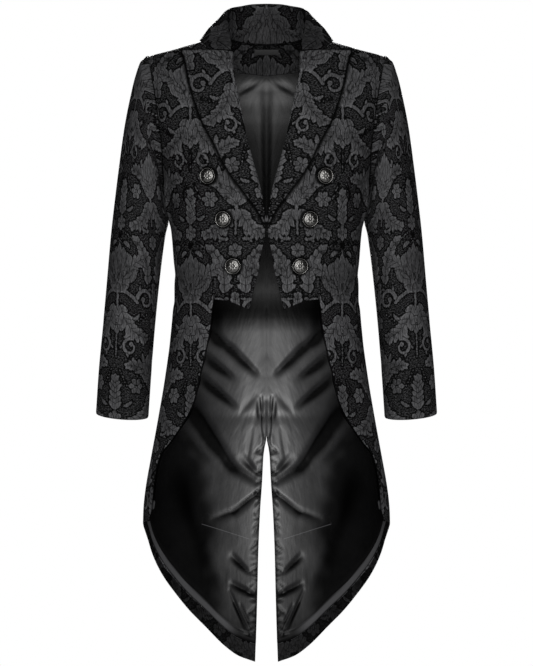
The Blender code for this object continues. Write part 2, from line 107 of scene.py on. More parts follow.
TAIL_HEM = [(79.5, -806), (85, -809), (90, -815), (95, -826), (99.5, -843), (104, -870),
            (111.6, -908), (119.8, -941.5), (129, -975.5), (136, -997), (151.2, -1040), (159.8, -1056.5),
            (171.8, -1068)]
VENT = [(180, -668), (177.8, -698), (176.7, -747), (175, -809), (173.9, -876), (173.3, -942), (172.6, -1009),
        (171.8, -1068)]
# Heights of the centre back: neck, foot of the neck facing, shoulder blades, waist, hips, top of the vent
CENTRE_BACK = (17, NECK_FACING_FOOT, -215, -435, -560, -668)
LAPEL_TOP = [(41.6, -13.6), (60.3, -11.0), (72.6, -9.0)]
LAPEL_EDGE = [(72.6, -9.0), (62.1, -37.4), (55.4, -69.8), (50.1, -101.4), (45, -132.6), (40.9, -152.7),
              (36.6, -172.5), (33.1, -191.2), (24, -229.3), (14.6, -258.5), (4.8, -289.6), (2.6, -301.5)]

# The armhole seen from the side: its middle in depth and height, and its half sizes
ARMHOLE_Y, ARMHOLE_Z = 9.0, -129.0
ARMHOLE_HALF_DEPTH, ARMHOLE_HALF_HEIGHT = 66.0, 115.0
FRONT_SEAM_AT = -100
BACK_SEAM_AT = 120

# Sections of a sleeve: outer x and height, inner x and height, middle in depth, half depth
SLEEVE = np.array([
    (214.6, -17.8, 176.6, -252.0, 8, 69),
    (224.6, -42.0, 172.6, -262.0, 7, 72),
    (234.0, -80.7, 169.2, -276.0, 5, 73),
    (244.2, -134.0, 168.4, -294.0, 3, 73),
    (252.7, -196.0, 173.2, -316.0, 2, 72),
    (259.8, -254.0, 177.4, -345.0, 0, 71),
    (266.0, -309.0, 182.0, -383.0, -2, 68),
    (274.6, -410.0, 188.8, -450.0, -7, 62),
    (280.6, -480.0, 193.6, -507.0, -12, 57),
    (286.8, -550.0, 197.4, -562.0, -18, 52),
    (291.2, -622.6, 201.6, -630.0, -26, 47),
])
CUFF_DIP = 6.0
SLEEVE_SEAM_AT = 120
# The sleeve's head rises over the shoulder by this much
SLEEVE_HEAD = 7.0

# The collar round the neck: angle of its seam, top of the fold, middle of the fall, edge of the fall
COLLAR = [
    (43, (60.5, -67, -7), (98.5, -59, -3.5), (112, -24, 14.5)),
    (58, (65.0, -44, 20), (94.0, -32, 20), (115, -8, 16.5)),
    (75, (69.0, -20, 47), (96.0, -8, 39), (115, 8, 17)),
    (90, (70.0, 8, 65.5), (93.5, 17, 45), (109.5, 28, 17)),
    (115, (62.5, 33, 76), (80.0, 45, 50), (92, 56, 14)),
    (140, (43.0, 51, 82), (55.0, 66, 49), (66, 75, 9)),
    (160, (24.0, 59, 86), (31.0, 74, 50), (36, 83, 8)),
    (180, (0.0, 61, 87), (0.0, 77, 50), (0, 86, 8)),
]
COLLAR_STATIONS = 13
FOLD_RADIUS = 4.0

# Buttons on the left front: angle, height and how far the shank stands off the cloth's curve
BUTTONS = [(40.5, -222.9, -0.4), (31.5, -295.4, 0.2), (25.8, -373.9, 0.4)]
BUTTON_RADIUS = 13.5
BUTTON_HEIGHT = 9.5
BUTTON_SEGMENTS = 72
# Shares of the radius and the height, from the foot of the shank to the edge of the rim
BUTTON_BACK = [(0.30, 0.0), (0.30, 0.20), (0.90, 0.24), (0.98, 0.32), (1.0, 0.42), (0.985, 0.52)]
# The rings of the face: the first and last one's share of the radius, and how many
BUTTON_FACE = (0.965, 0.04, 30)
BUTTON_PETALS = 8
BUTTON_BEADS = 36

LABEL = (42.0, 10.0, 0.6)
LABEL_HEIGHT = 6.0
HOOK_HEIGHT = -316.0
WIRE_RADIUS = 0.55

# How finely each coarse cell of the model is divided here, down and across
FRONT_FINE = (15, 8)
SIDE_FINE = (15, 12)
BACK_FINE = (15, 12)
SKIRT_FINE = 26
HEM_ROWS = 8
SHOULDER_FINE = 6
LINING_FINE = (12, 10)
LINING_SKIRT_FINE = 22
LINING_HEM_ROWS = 2
LINING_SHOULDER_FINE = 4

# The woven figure repeats on a tile that is mirrored about both of its upright sides
TILE_HALF = 85.0
TILE_HEIGHT = 330.0
TILE_STEP = 0.6
STREAK_TURN = 2.4
FRAY = 5.0
FIELD_LIMIT = 6.0
FRONT_AXIS_X = 128.0

# The strokes of the figure on the tile, in lengths across and down it
BUDS = [  # foot, height, width
    ((0, 84), 62, 60),
    ((TILE_HALF, 252), 58, 54),
]
LEAVES = [  # root, tip, bow, width, pairs of lobes, curl of the lobes, sides with lobes
    ((4, 104), (74, 44), -0.36, 23, 9),
    ((66, 86), (34, 10), 0.30, 15, 7),
    ((8, 128), (66, 182), 0.34, 21, 8),
    ((82, 270), (20, 226), 0.34, 21, 8),
    ((78, 280), (26, 322), -0.30, 19, 7),
    ((0, 302), (0, 246), 0.0, 17, 6, 0.34, (1,)),
    ((TILE_HALF, 134), (TILE_HALF, 90), 0.0, 14, 5, 0.34, (-1,)),
]
SCROLLS = [  # centre, radius, first angle, turns, thickness, group, bud's radius, leaves on its back
    ((58, 116), 19, 190, 1.0, 8.0, 0),
    ((26, 196), 15, -70, -1.0, 6.5, 1, 4.2),
    ((64, 316), 14, 60, 1.0, 6.0, 1, 4.2, 2),
]
FLOWERS = [  # centre, radius, petals, angle of the first
    ((0, 160), 13, 6, 90),
    ((38, 262), 12, 6),
    ((0, 318), 11, 6, 90),
    ((TILE_HALF, 156), 12, 6, 30),
    ((TILE_HALF, 18), 11, 6, 90),
]
STEMS = [  # start, end, bow, thickness there and at the end, group
    ((0, 100), (40, 120), -0.20, 7.0, 6.5, 1),
    ((0, 96), (0, 214), 0.0, 6.0, 4.0, 0),
    ((TILE_HALF, 262), (TILE_HALF, 322), 0.0, 6.0, 4.0, 0),
    ((TILE_HALF, 168), (TILE_HALF, 196), 0.0, 3.5, 3.0, 1),
]
PETALS = [  # root, tip, bow, width, group
    ((TILE_HALF - 4, 66), (TILE_HALF - 22, 60), 0.3, 8, 0),
    ((TILE_HALF - 3, 76), (TILE_HALF - 20, 78), -0.2, 8, 1),
    ((30, 148), (46, 138), 0.3, 7, 0),
    ((14, 296), (30, 286), 0.3, 7, 1),
    ((52, 206), (62, 226), 0.3, 8, 0),
    ((10, 20), (26, 30), -0.3, 8, 1),
]

# How the figure lies on a lapel
LAPEL_AXIS_X = 70.0
LAPEL_SLANT = -14.0
LAPEL_SHIFT = (0.0, 60.0)
# A lapel's edge lifts off the front, and its dark corded edge is wider than a plain one by this share
LAPEL_LIFT = 3.0
LAPEL_CORD = 0.36
# Painted shadow on the front beside a lapel; a higher share makes that band narrower
LAPEL_SHADOW = 0.20
# Painted shadow on the front round each button; a higher share makes that ring narrower
BUTTON_SHADOW = 0.26

# How bright each cloth is: the brocades as shares of the coat's own, the satins and the floor as greys
# The collar and neck facing use a darker copy of the coat's brocade, as painted shade
COLLAR_SHADED_TONE = 0.52
# The tail facing uses a darker copy of the coat's brocade, as painted shade on the tails' inner side
FACING_SHADED_TONE = 0.16
LINING_TONE = 0.018
# The inside of the fronts and sleeves uses a darker copy of the lining satin, as painted shade
INNER_SHADED_TONE = 0.006
FLOOR_TONE = 0.82
SILVER_COLOUR = (0.26, 0.255, 0.245, 1)
TARNISH_COLOUR = (0.008, 0.008, 0.008, 1)
# Light: the surroundings' strength, the satin's gloss, the point the lamps aim at in metres, and the lamps:
# place and width in metres, and watts
AMBIENT = 0.012
SATIN_GLOSS = 0.68
LIGHT_AIM = (0.0, 0.0, -0.5)
LIGHTS = [
    ("front_high", 0.0, -4.3, 2.1, 2.2, 112),
    ("front_level", 0.0, -5.7, -0.62, 1.4, 192),
    ("back", 0.0, 4.6, 0.9, 2.0, 220),
]

# Soft folds of the lining, as seen from the front: from x and height to x and height, width, depth.
# A positive depth stands towards the inside. The second side of each fold is the steeper one.
LINING_FOLDS = [
    (0, -40, 0, -290, 6, 1.8),
    (16, -44, 44, -62, 6, 1.6),
    (30, -90, 12, -240, 12, 1.0),
    (62, -110, 50, -230, 16, 1.2),
    (98, -484, 62, -512, 9, 3.6),
    (62, -512, 22, -550, 8, 3.6),
    (108, -526, 66, -558, 8, 3.9),
    (118, -562, 62, -608, 8, 4.0),
    (134, -610, 98, -664, 17, 5.0),
    (98, -664, 62, -716, 12, 4.2),
    (146, -662, 110, -706, 10, 2.6),
    (68, -714, 20, -745, 9, 2.6),
    (95, -446, 86, -492, 14, 2.6),
    (90, -636, 12, -632, 13, 1.2),
    (40, -706, 20, -730, 7, 2.6),
    (94, -812, 56, -798, 6, 3.0),
    (58, -800, 18, -769, 5, 3.8),
    (60, -880, 36, -904, 5, 3.4),
    (60, -928, 23, -948, 5, 3.4),
    (66, -940, 38, -1010, 2.4, 1.6),
    (57, -962, 30, -1018, 2.2, 1.9),
    (47, -966, 27, -1006, 2.2, 1.6),
    (6, -606, 18, -644, 5, 1.1),
    (20, -596, 42, -622, 7, 1.2),
    (5, -645, 10, -690, 4, -0.9),
    (26, -655, 32, -700, 5, 1.0),
    (152, -740, 130, -830, 15, 3.0),
    (120, -850, 92, -930, 12, 2.4),
    (4, -360, 3, -560, 6, 0.5),
    (3, -606, 3, -668, 3, 1.4),
    (9, -598, 6, -664, 2.4, 1.8),
    (15, -604, 12, -644, 2.2, 1.0),
]
# Small puckers beside the edge of the vent: first height, last height, spacing, then length, width and depth
VENT_PUCKERS = (-672.0, -1030.0, -7.5, 11.0, 2.0, 1.5)
# Painted shade on a tail's lining: the line, as height and x, past which its colour and gloss are darkened,
# how softly they darken, and how much light is left past it
SHADE_LINE = [(-560, 190), (-615, 172), (-660, 142), (-726, 116), (-790, 98), (-860, 98), (-905, 100),
             (-950, 92), (-990, 78), (-1050, 52)]
SHADE_SOFTNESS = 17.0
SHADED_SHARE = 0.21
# Painted light and shade on the lining at each height: dim above the waist as the fronts' shade, with a
# darker band of painted shadow under the fronts' hem
INNER_LIGHT = [(0, 0.55), (-70, 0.40), (-110, 0.20), (-150, 0.11), (-230, 0.07), (-380, 0.11),
               (-414, 0.14), (-430, 0.10), (-446, 0.07), (-458, 0.12), (-470, 0.36), (-484, 0.85),
               (-520, 1.0), (-640, 0.85), (-760, 0.60), (-900, 0.48), (-960, 0.34), (-1040, 0.14)]
# Painted shade in the lining's folds: how strongly a fold darkens for each millimetre of its depth, and its
# side that faces down and outward
FOLD_DARK = 0.25
FOLD_SHADE = 0.30
# Painted highlights along sharp creases of the lining: from x and height to x and height
LINING_LINES = [
    (116, -822, 31, -850),
]
# Soft creases of the body: from arc length round the body and height to the same, width, depth
BODY_CREASES = [
    (150, -255, 196, -232, 12, -1.8),
    (158, -290, 205, -262, 12, -1.4),
    (96, -395, 150, -372, 12, -1.0),
    (70, -405, 118, -420, 10, -0.9),
    (180, -400, 240, -380, 14, -1.6),
    (175, -440, 250, -428, 13, -1.2),
    (300, -390, 395, -372, 16, -1.6),
    (310, -425, 385, -415, 13, -1.3),
    (262, -250, 300, -300, 12, -1.8),
    (212, -232, 210, -290, 11, 5.5),
    (230, -520, 250, -700, 22, -2.4),
    (300, -480, 330, -680, 26, -2.6),
    (352, -560, 372, -820, 22, 2.0),
    (405, -520, 410, -640, 14, 1.4),
    (330, -760, 350, -930, 20, -2.0),
]
# Soft creases of a sleeve: from arc length round the sleeve and length down it to the same, width, depth
SLEEVE_CREASES = [
    (-150, 110, -70, 150, 12, -2.0),
    (-165, 165, -95, 188, 11, -1.8),
    (-170, 260, -80, 290, 12, -2.4),
    (-175, 300, -110, 318, 9, -1.8),
    (-120, 335, -40, 318, 12, -1.6),
    (-160, 350, -90, 372, 11, -1.8),
    (-60, 420, -20, 460, 14, -1.2),
    (-140, 470, -80, 500, 12, -1.2),
    (120, 250, 60, 285, 12, -2.2),
    (140, 300, 70, 322, 11, -2.0),
    (120, 370, 60, 350, 12, -1.6),
    (100, 470, 60, 520, 14, -1.3),
    (30, 60, 70, 110, 14, -1.2),
]


def smooth_curve(at, values, where):
    """A curve through the values that never overshoots them. Values may have any number of columns."""
    at = np.asarray(at, float)
    values = np.asarray(values, float)
    where = np.clip(np.asarray(where, float), at[0], at[-1])
    extra = (1,) * (values.ndim - 1)
    step = np.diff(at).reshape(-1, *extra)
    rise = np.diff(values, axis=0) / step
    before, after = rise[:-1], rise[1:]
    near, far = step[:-1], step[1:]
    turning = before * after <= 0
    safe_before, safe_after = np.where(turning, 1.0, before), np.where(turning, 1.0, after)
    weight = ((2 * far + near) / safe_before + (far + 2 * near) / safe_after)
    middle = np.where(turning, 0.0, 3 * (near + far) / np.where(turning, 1.0, weight))
    slope = np.concatenate([rise[:1], middle, rise[-1:]])
    k = np.clip(np.searchsorted(at, where) - 1, 0, len(step) - 1)
    t = (where - at[k]).reshape(where.shape + extra) / step[k]
    return ((1 + 2 * t) * (1 - t) ** 2 * values[k] + t * (1 - t) ** 2 * step[k] * slope[k]
            + t * t * (3 - 2 * t) * values[k + 1] + t * t * (t - 1) * step[k] * slope[k + 1])


def soft_step(low, high, value):
    """0 below the low end, 1 above the high end, and smooth between."""
    t = np.clip((np.asarray(value, float) - low) / (high - low), 0, 1)
    return t * t * (3 - 2 * t)


def running_total(steps, axis=0):
    """The sum of the steps so far at each place, from nought."""
    return np.insert(np.cumsum(steps, axis=axis), 0, 0.0, axis=axis)


def run_lengths(grid, axis=0):
    """Lengths along the lines of a grid of points, from its first row, or its first column with axis 1."""
    return running_total(np.linalg.norm(np.diff(grid, axis=axis), axis=-1), axis)


def body_point(angle, height):
    """The point of the body's outside at an angle and a height."""
    half, front, back, power = np.moveaxis(smooth_curve(BODY[:, 0], BODY[:, 1:], height), -1, 0)
    turn = np.radians(angle)
    depth = np.where(np.abs(np.asarray(angle)) <= 90, front, back)
    sideways = np.abs(np.sin(turn)) / half
    forward = np.abs(np.cos(turn)) / depth
    reach = (sideways ** power + forward ** power) ** (-1 / power)
    return np.stack([reach * np.sin(turn), -reach * np.cos(turn), height + 0 * turn], axis=-1)


def body_normal(angle, height):
    """The outward direction of the body's outside."""
    round_it = body_point(angle + 0.5, height) - body_point(angle - 0.5, height)
    up_it = body_point(angle, height + 1.0) - body_point(angle, height - 1.0)
    normal = np.cross(round_it, up_it)
    return normal / np.linalg.norm(normal, axis=-1, keepdims=True)


def on_body(places, out=0.0):
    """Points of a grid of angles and heights, moved outward by a distance."""
    places = np.asarray(places, float)
    angle, height = places[..., 0], places[..., 1]
    return body_point(angle, height) + body_normal(angle, height) * np.asarray(out)[..., None]


def armhole(turn, grow=0.0):
    """Angle and height of the armhole's edge, at a turn round it: 0 is the top, 90 the back."""
    turn = np.radians(np.asarray(turn, float))
    y = ARMHOLE_Y + (ARMHOLE_HALF_DEPTH + grow) * np.sin(turn)
    z = ARMHOLE_Z + (ARMHOLE_HALF_HEIGHT + grow) * np.cos(turn)
    half, front, back, power = np.moveaxis(smooth_curve(BODY[:, 0], BODY[:, 1:], z), -1, 0)
    depth = np.where(y < 0, front, back)
    x = half * (1 - (np.abs(y) / depth) ** power) ** (1 / power)
    return np.stack([np.degrees(np.arctan2(x, -y)), z], axis=-1)


def along(points, count):
    """A smooth line through angles and heights, at evenly spaced places."""
    points = np.asarray(points, float)
    steps = np.diff(points, axis=0) * (2.4, 1.0)
    length = running_total(np.linalg.norm(steps, axis=1))
    return smooth_curve(length, points, np.linspace(0, length[-1], count + 1))


def patch(top, bottom, left, right):
    """A grid of places filled in between four edges. Top and bottom run left to right, the sides run down."""
    u = np.linspace(0, 1, len(top))[None, :, None]
    v = np.linspace(0, 1, len(left))[:, None, None]
    corners = ((1 - u) * (1 - v) * top[0] + u * (1 - v) * top[-1]
               + (1 - u) * v * bottom[0] + u * v * bottom[-1])
    return ((1 - v) * top[None] + v * bottom[None] + (1 - u) * left[:, None] + u * right[:, None] - corners)


def join_lines(*lines):
    """Lines end to end, with each shared point once."""
    return np.concatenate([lines[0]] + [line[1:] for line in lines[1:]])


def shifted(line, degrees):
    """A line moved round the body by an angle."""
    return np.asarray(line) + (degrees, 0.0)


def split_line(line, count, height, rows, last_rows):
    """A line that runs down, sampled in rows as far as a height and in the last rows from there on."""
    fine = along(line, count)
    end = int(np.argmin(np.abs(fine[:, 1] - height)))
    foot = along([tuple(fine[end // 10 * 10]), tuple(fine[-1])], last_rows)
    return join_lines(along(fine[:end + 1:10], rows), foot)


def seam_lines(rows, skirt, last):
    """The seam of front and side, and the seam of side and back, which two panels share."""
    front_seam = along([tuple(armhole(FRONT_SEAM_AT))] + FRONT_SEAM, 5 * rows)
    upper = along([tuple(armhole(BACK_SEAM_AT))] + BACK_SEAM[:2], 5 * rows)
    lower = split_line(BACK_SEAM[1:], 400, BACK_SEAM[-1][1] + FACING_WIDTH, 8 * skirt, last)
    return front_seam, join_lines(upper, lower)


def front_places(fine):
    """The front: shoulder seam at the top, neckline and front edge at the left."""
    down, across = fine
    front_seam, _ = seam_lines(down, SKIRT_FINE, HEM_ROWS)
    front_arc = armhole(np.linspace(0, FRONT_SEAM_AT, 5 * down + 1))
    top = shifted(along(SHOULDER_SEAM, 9 * across), -SEAM)
    top[-1] = front_arc[0] - (SEAM, 0)
    neck = along([(90 - SEAM, NECKLINE_FRONT[0][1])] + NECKLINE_FRONT[1:], 3 * down)
    edge = along(ROLL_LINE + FRONT_EDGE[1:], 7 * down)
    left = join_lines(neck, edge)
    right = shifted(join_lines(front_arc, front_seam), -SEAM)
    bottom = along(FRONT_HEM, 9 * across)
    bottom[0], bottom[-1] = left[-1], right[-1]
    top[0] = left[0]
    return patch(top, bottom, left, right)


def side_places(fine, skirt, last):
    """The side body: armhole at the top, cut-away edge at the left, hem of the tail at the foot."""
    down, across = fine
    front_seam, back_seam = seam_lines(down, skirt, last)
    lower = split_line(CUT_AWAY, 400, CUT_AWAY[-1][1] + FACING_WIDTH, 8 * skirt, last)
    left = join_lines(shifted(front_seam, SEAM), shifted(lower, SEAM * 0.5))
    right = shifted(back_seam, -SEAM)
    top = armhole(np.linspace(FRONT_SEAM_AT, BACK_SEAM_AT - 360, 7 * across + 1))
    bottom = along([place for place in TAIL_HEM if place[0] <= BACK_SEAM[-1][0]], 7 * across)
    top[0], top[-1] = left[0], right[0]
    bottom[0], bottom[-1] = left[-1], right[-1]
    return patch(top, bottom, left, right)


def back_places(fine, skirt, last, shoulder):
    """The back: neckline at the top, centre back and vent at the left, shoulder and armhole at the right."""
    down, across = fine
    _, back_seam = seam_lines(down, skirt, last)
    back_arc = armhole(np.linspace(0, BACK_SEAM_AT, 6 * down + 1))
    middle, end = NECKLINE_BACK[0][1], NECKLINE_BACK[-1][1]
    top = along([(180 - SEAM, middle)] + NECKLINE_BACK[1:3] + [(90 + SEAM, end)], 7 * across)
    seam = along([tuple(top[-1]), (90 + SEAM, SHOULDER_SEAM[1][1])], 3 * shoulder)
    right = np.concatenate([seam[:-1], shifted(join_lines(back_arc, back_seam), SEAM)])
    inner = 180 - SEAM
    neck, foot, blade, waist, hip, vent_top = ((inner, height) for height in CENTRE_BACK)
    centre = join_lines(along([neck, foot], 3 * shoulder), along([foot, blade], 6 * down),
                        along([blade, waist], 5 * down))
    vent = split_line([waist, hip, vent_top] + VENT[1:], 400, TAIL_HEM[-1][1] + FACING_WIDTH, 8 * skirt, last)
    left = join_lines(centre, vent)
    bottom = along([place for place in reversed(TAIL_HEM) if place[0] >= BACK_SEAM[-1][0]], 7 * across)
    bottom[0], bottom[-1] = left[-1], right[-1]
    return patch(top, bottom, left, right)


# Lengths of the cloth round the body, for laying the woven figure on it
ARC_ANGLES = np.linspace(0, 180, 181)
ARC_HEIGHTS = np.linspace(BODY[0, 0], BODY[-1, 0], 120)
ARC_POINTS = body_point(*np.meshgrid(ARC_ANGLES, ARC_HEIGHTS))
ARC_LENGTHS = run_lengths(ARC_POINTS, 1)
AXIS_ARCS = np.array([np.interp(FRONT_AXIS_X, ARC_POINTS[k, :91, 0], ARC_LENGTHS[k, :91])
                      for k in range(len(ARC_HEIGHTS))])


def look_up(table, across, down):
    """Values of a table at fractional columns and rows."""
    row = np.clip(down, 0, table.shape[0] - 1.001)
    column = np.clip(across, 0, table.shape[1] - 1.001)
    r, c = row.astype(int), column.astype(int)
    fr, fc = row - r, column - c
    return ((1 - fr) * ((1 - fc) * table[r, c] + fc * table[r, c + 1])
            + fr * ((1 - fc) * table[r + 1, c] + fc * table[r + 1, c + 1]))


def arc_length(places):
    """The length round the body from the centre front, at angles and heights."""
    low, high = ARC_HEIGHTS[0], ARC_HEIGHTS[-1]
    down = (places[..., 1] - low) / (high - low) * (len(ARC_HEIGHTS) - 1)
    return look_up(ARC_LENGTHS, places[..., 0], down)


def from_line(line, across, down):
    """How far places lie along a straight line and beside it, and the line's length."""
    start, end = np.array(line[:2], float), np.array(line[2:], float)
    run = end - start
    length = np.linalg.norm(run)
    run /= length
    ahead = (across - start[0]) * run[0] + (down - start[1]) * run[1]
    beside = -(across - start[0]) * run[1] + (down - start[1]) * run[0]
    return ahead, beside, length


def creases(table, across, down):
    """How far folds move a surface, at its lengths across and down. One side of a fold is the steeper."""
    moved = np.zeros(across.shape)
    for *line, width, depth in table:
        ahead, beside, length = from_line(line, across, down)
        past = ahead - np.clip(ahead, 0, length)
        wide = np.where(beside > 0, width * 1.3, width * 0.62)
        share = np.clip(ahead / length, 0, 1)
        wide = wide * (1.25 - 0.5 * share)
        taper = 0.45 + 0.55 * np.sin(np.pi * (0.08 + 0.84 * share))
        moved += depth * taper * np.exp(-(beside / wide) ** 2 - (past / (1.2 * width)) ** 2)
    return moved


# The woven figure, drawn on the tile with v running down


def bent_line(start, end, bulge, count):
    """A line from one point to another that bows to one side by a share of its length."""
    start, end = np.array(start, float), np.array(end, float)
    run = end - start
    middle = (start + end) / 2 + np.array([-run[1], run[0]]) * bulge
    t = np.linspace(0, 1, count)[:, None]
    return (1 - t) ** 2 * start + 2 * t * (1 - t) * middle + t * t * end


def petal(start, end, bulge, width, group, full=0.42, point=0.12):
    """A stroke that is narrow at its root, full on the way and drawn out to a point at its end."""
    t = np.linspace(0, 1, 24)
    rising = np.sin(np.pi / 2 * np.clip(t / full, 0, 1))
    falling = np.cos(np.pi / 2 * np.clip((t - full) / (1 - full), 0, 1)) ** 0.8
    radius = width / 2 * np.where(t < full, 0.30 + 0.70 * rising, point + (1 - point) * falling)
    return bent_line(start, end, bulge, 24), radius, group


def stem(start, end, bulge, thick, thin, group):
    """A stroke that thins out towards its end."""
    return bent_line(start, end, bulge, 30), np.linspace(thick / 2, thin / 2, 30), group


def ball(centre, radius, group):
    """A round dot."""
    return np.array([centre], float), np.array([radius], float), group


def leaf(start, end, bulge, width, lobes, curl=0.34, sides=(-1, 1)):
    """An acanthus leaf: pointed lobes in pairs along a bowed rib, with a line between each and the next.

    A leaf whose rib is an upright side of the tile has lobes on one side only, as the mirror gives the other.
    """
    rib = bent_line(start, end, bulge, 61)
    ahead = np.gradient(rib, axis=0)
    ahead /= np.linalg.norm(ahead, axis=1, keepdims=True)
    length = np.sum(np.linalg.norm(np.diff(rib, axis=0), axis=1))
    strokes = []
    for k in range(lobes):
        share = (k + 0.2) / (lobes + 0.6)
        at = int(round(share * 60))
        reach = width * (0.36 + 0.64 * math.sin(math.pi * (0.18 + 0.72 * share)))
        for side in sides:
            uneven = 1.0 + 0.16 * math.sin(2.3 * k + side)
            beside = np.array([-ahead[at, 1], ahead[at, 0]]) * side
            root = rib[at] - ahead[at] * length / lobes * 0.30
            way = ahead[at] * (0.62 + 0.3 * share) + beside * (0.86 - 0.42 * share)
            tip = rib[at] + way * reach * uneven
            strokes.append(petal(root, tip, -curl * side, length / lobes * 0.92 + 2.2, (k + (side > 0)) % 2))
    strokes.append(petal(rib[int(60 * (1 - 1.6 / lobes))], rib[-1] + ahead[-1] * width * 0.22, 0.0,
                         length / lobes * 0.9 + 2.0, lobes % 2))
    return strokes


def scroll(centre, radius, start, turns, thick, group, bud=4.6, crockets=3):
    """A curl that winds inward and ends in a round bud, with small pointed leaves along its back."""
    t = np.linspace(0, 1, 46)
    turn = np.radians(start) + turns * math.tau * t
    reach = radius * (1 - 0.66 * t)
    out = np.stack([np.cos(turn), np.sin(turn)], axis=1)
    points = np.array(centre) + reach[:, None] * out
    ahead = np.gradient(points, axis=0)
    ahead /= np.linalg.norm(ahead, axis=1, keepdims=True)
    strokes = [(points, np.linspace(thick / 2, thick / 3.6, 46), group), ball(points[-1], bud, group)]
    for k in range(crockets):
        at = 5 + 8 * k
        tip = points[at] + out[at] * thick * 1.15 + ahead[at] * thick * 1.1
        strokes.append(petal(points[at], tip, -0.25 * np.sign(turns), thick * 0.72, 1 - group))
    return strokes


def flower(centre, radius, petals, turn=0.0):
    """A small open flower."""
    strokes = []
    for k in range(petals):
        way = math.radians(turn) + math.tau * k / petals
        out = np.array([math.cos(way), math.sin(way)])
        root, tip = (np.array(centre) + out * radius * share for share in (0.30, 0.98))
        strokes.append(petal(root, tip, 0.06, radius * 0.80, k % 2, full=0.6, point=0.45))
    strokes.append(ball(centre, radius * 0.20, 1))
    return strokes


def artichoke(base, height, width):
    """A closed bud of pointed scales in layers, drawn on one side of an upright side of the tile."""
    u, v = base
    strokes = []
    for layer, (out, rise, bow, fat) in enumerate(((0.00, 1.00, 0.00, 0.30), (0.17, 0.90, 0.22, 0.26),
                                                   (0.33, 0.76, 0.34, 0.25), (0.50, 0.58, 0.42, 0.24),
                                                   (0.64, 0.34, 0.46, 0.22))):
        tip = (u + out * width, v - rise * height)
        root = (u + 0.03 * width * layer, v)
        strokes.append(petal(root, tip, bow, width * fat, layer % 2, full=0.62, point=0.08))
    for k, (out, drop) in enumerate(((0.55, -0.02), (0.40, 0.18), (0.16, 0.30))):
        tip = (u + out * width, v + drop * height)
        strokes.append(petal((u + 1, v - 2), tip, -0.30 + 0.12 * k, width * 0.17, (k + 1) % 2))
    for k in range(4):
        strokes.append(ball((u + 3.6 * (k % 2), v - height * (1.04 + 0.07 * k)), 2.1 - 0.3 * k, k % 2))
    return strokes


def figure_strokes():
    """Every stroke of one tile."""
    strokes = [stem(*row) for row in STEMS] + [petal(*row) for row in PETALS]
    for shape, table in ((artichoke, BUDS), (leaf, LEAVES), (scroll, SCROLLS), (flower, FLOWERS)):
        for row in table:
            strokes += shape(*row)
    for k in range(6):
        strokes.append(ball((30 + 6.0 * k, 146 + 5.0 * math.sin(k * 0.9)), 1.9, k % 2))
        strokes.append(ball((14 + 3.0 * k, 8 - 4.0 * math.cos(k * 0.6)), 1.8, k % 2))
        strokes.append(ball((8 + 2.4 * k, 236 + 5.0 * k), 1.8, k % 2))
    return strokes


def figure_fields():
    """Two grids on the tile: the distance to the figure, negative inside it, and that to its inner lines."""
    u = np.arange(0, TILE_HALF + TILE_STEP, TILE_STEP)
    v = np.arange(0, TILE_HEIGHT + TILE_STEP, TILE_STEP)
    fields = np.full((2, len(v), len(u)), FIELD_LIMIT)
    for points, radii, group in figure_strokes():
        for mirror in (None, 0.0, TILE_HALF):
            for drop in (-TILE_HEIGHT, 0.0, TILE_HEIGHT):
                placed = points + (0.0, drop)
                if mirror is not None:
                    placed[:, 0] = 2 * mirror - placed[:, 0]
                reach = radii.max() + FIELD_LIMIT
                c0, r0 = np.maximum((placed.min(axis=0) - reach) / TILE_STEP, 0).astype(int)
                c1, r1 = np.maximum((placed.max(axis=0) + reach) / TILE_STEP + 1, 0).astype(int)
                window = fields[group, r0:r1, c0:c1]
                if window.size == 0:
                    continue
                across = u[None, c0:c1, None] - placed[:, 0]
                down = v[r0:r1, None, None] - placed[:, 1]
                distance = (np.sqrt(across ** 2 + down ** 2) - radii).min(axis=-1)
                np.minimum(window, distance, out=window)
    between = fields[0] - fields[1]
    steepness = np.hypot(*np.gradient(between, TILE_STEP))
    return np.stack([fields.min(axis=0), between / np.maximum(steepness, 0.45)])


FIELDS = figure_fields()


def woven(cloth):
    """The figure's distance and its inner lines, at lengths across and down the cloth."""
    across = np.abs((cloth[..., 0] + TILE_HALF) % (2 * TILE_HALF) - TILE_HALF) / TILE_STEP
    down = (cloth[..., 1] % TILE_HEIGHT) / TILE_STEP
    return look_up(FIELDS[0], across, down), look_up(FIELDS[1], across, down)


def edge_distance(grid, closed=()):
    """How far each point of a grid is from its cut edges. Closed names the sides that are folded, not cut."""
    down, across = run_lengths(grid), run_lengths(grid, 1)
    sides = {"top": down, "foot": down[-1:] - down, "left": across, "right": across[:, -1:] - across}
    return np.min([value for name, value in sides.items() if name not in closed], axis=0)


def rounding(distance):
    """How far the face of a panel turns in towards its edge."""
    return -EDGE_DIP * (1 - soft_step(0, EDGE_WIDTH, distance)) ** 1.5


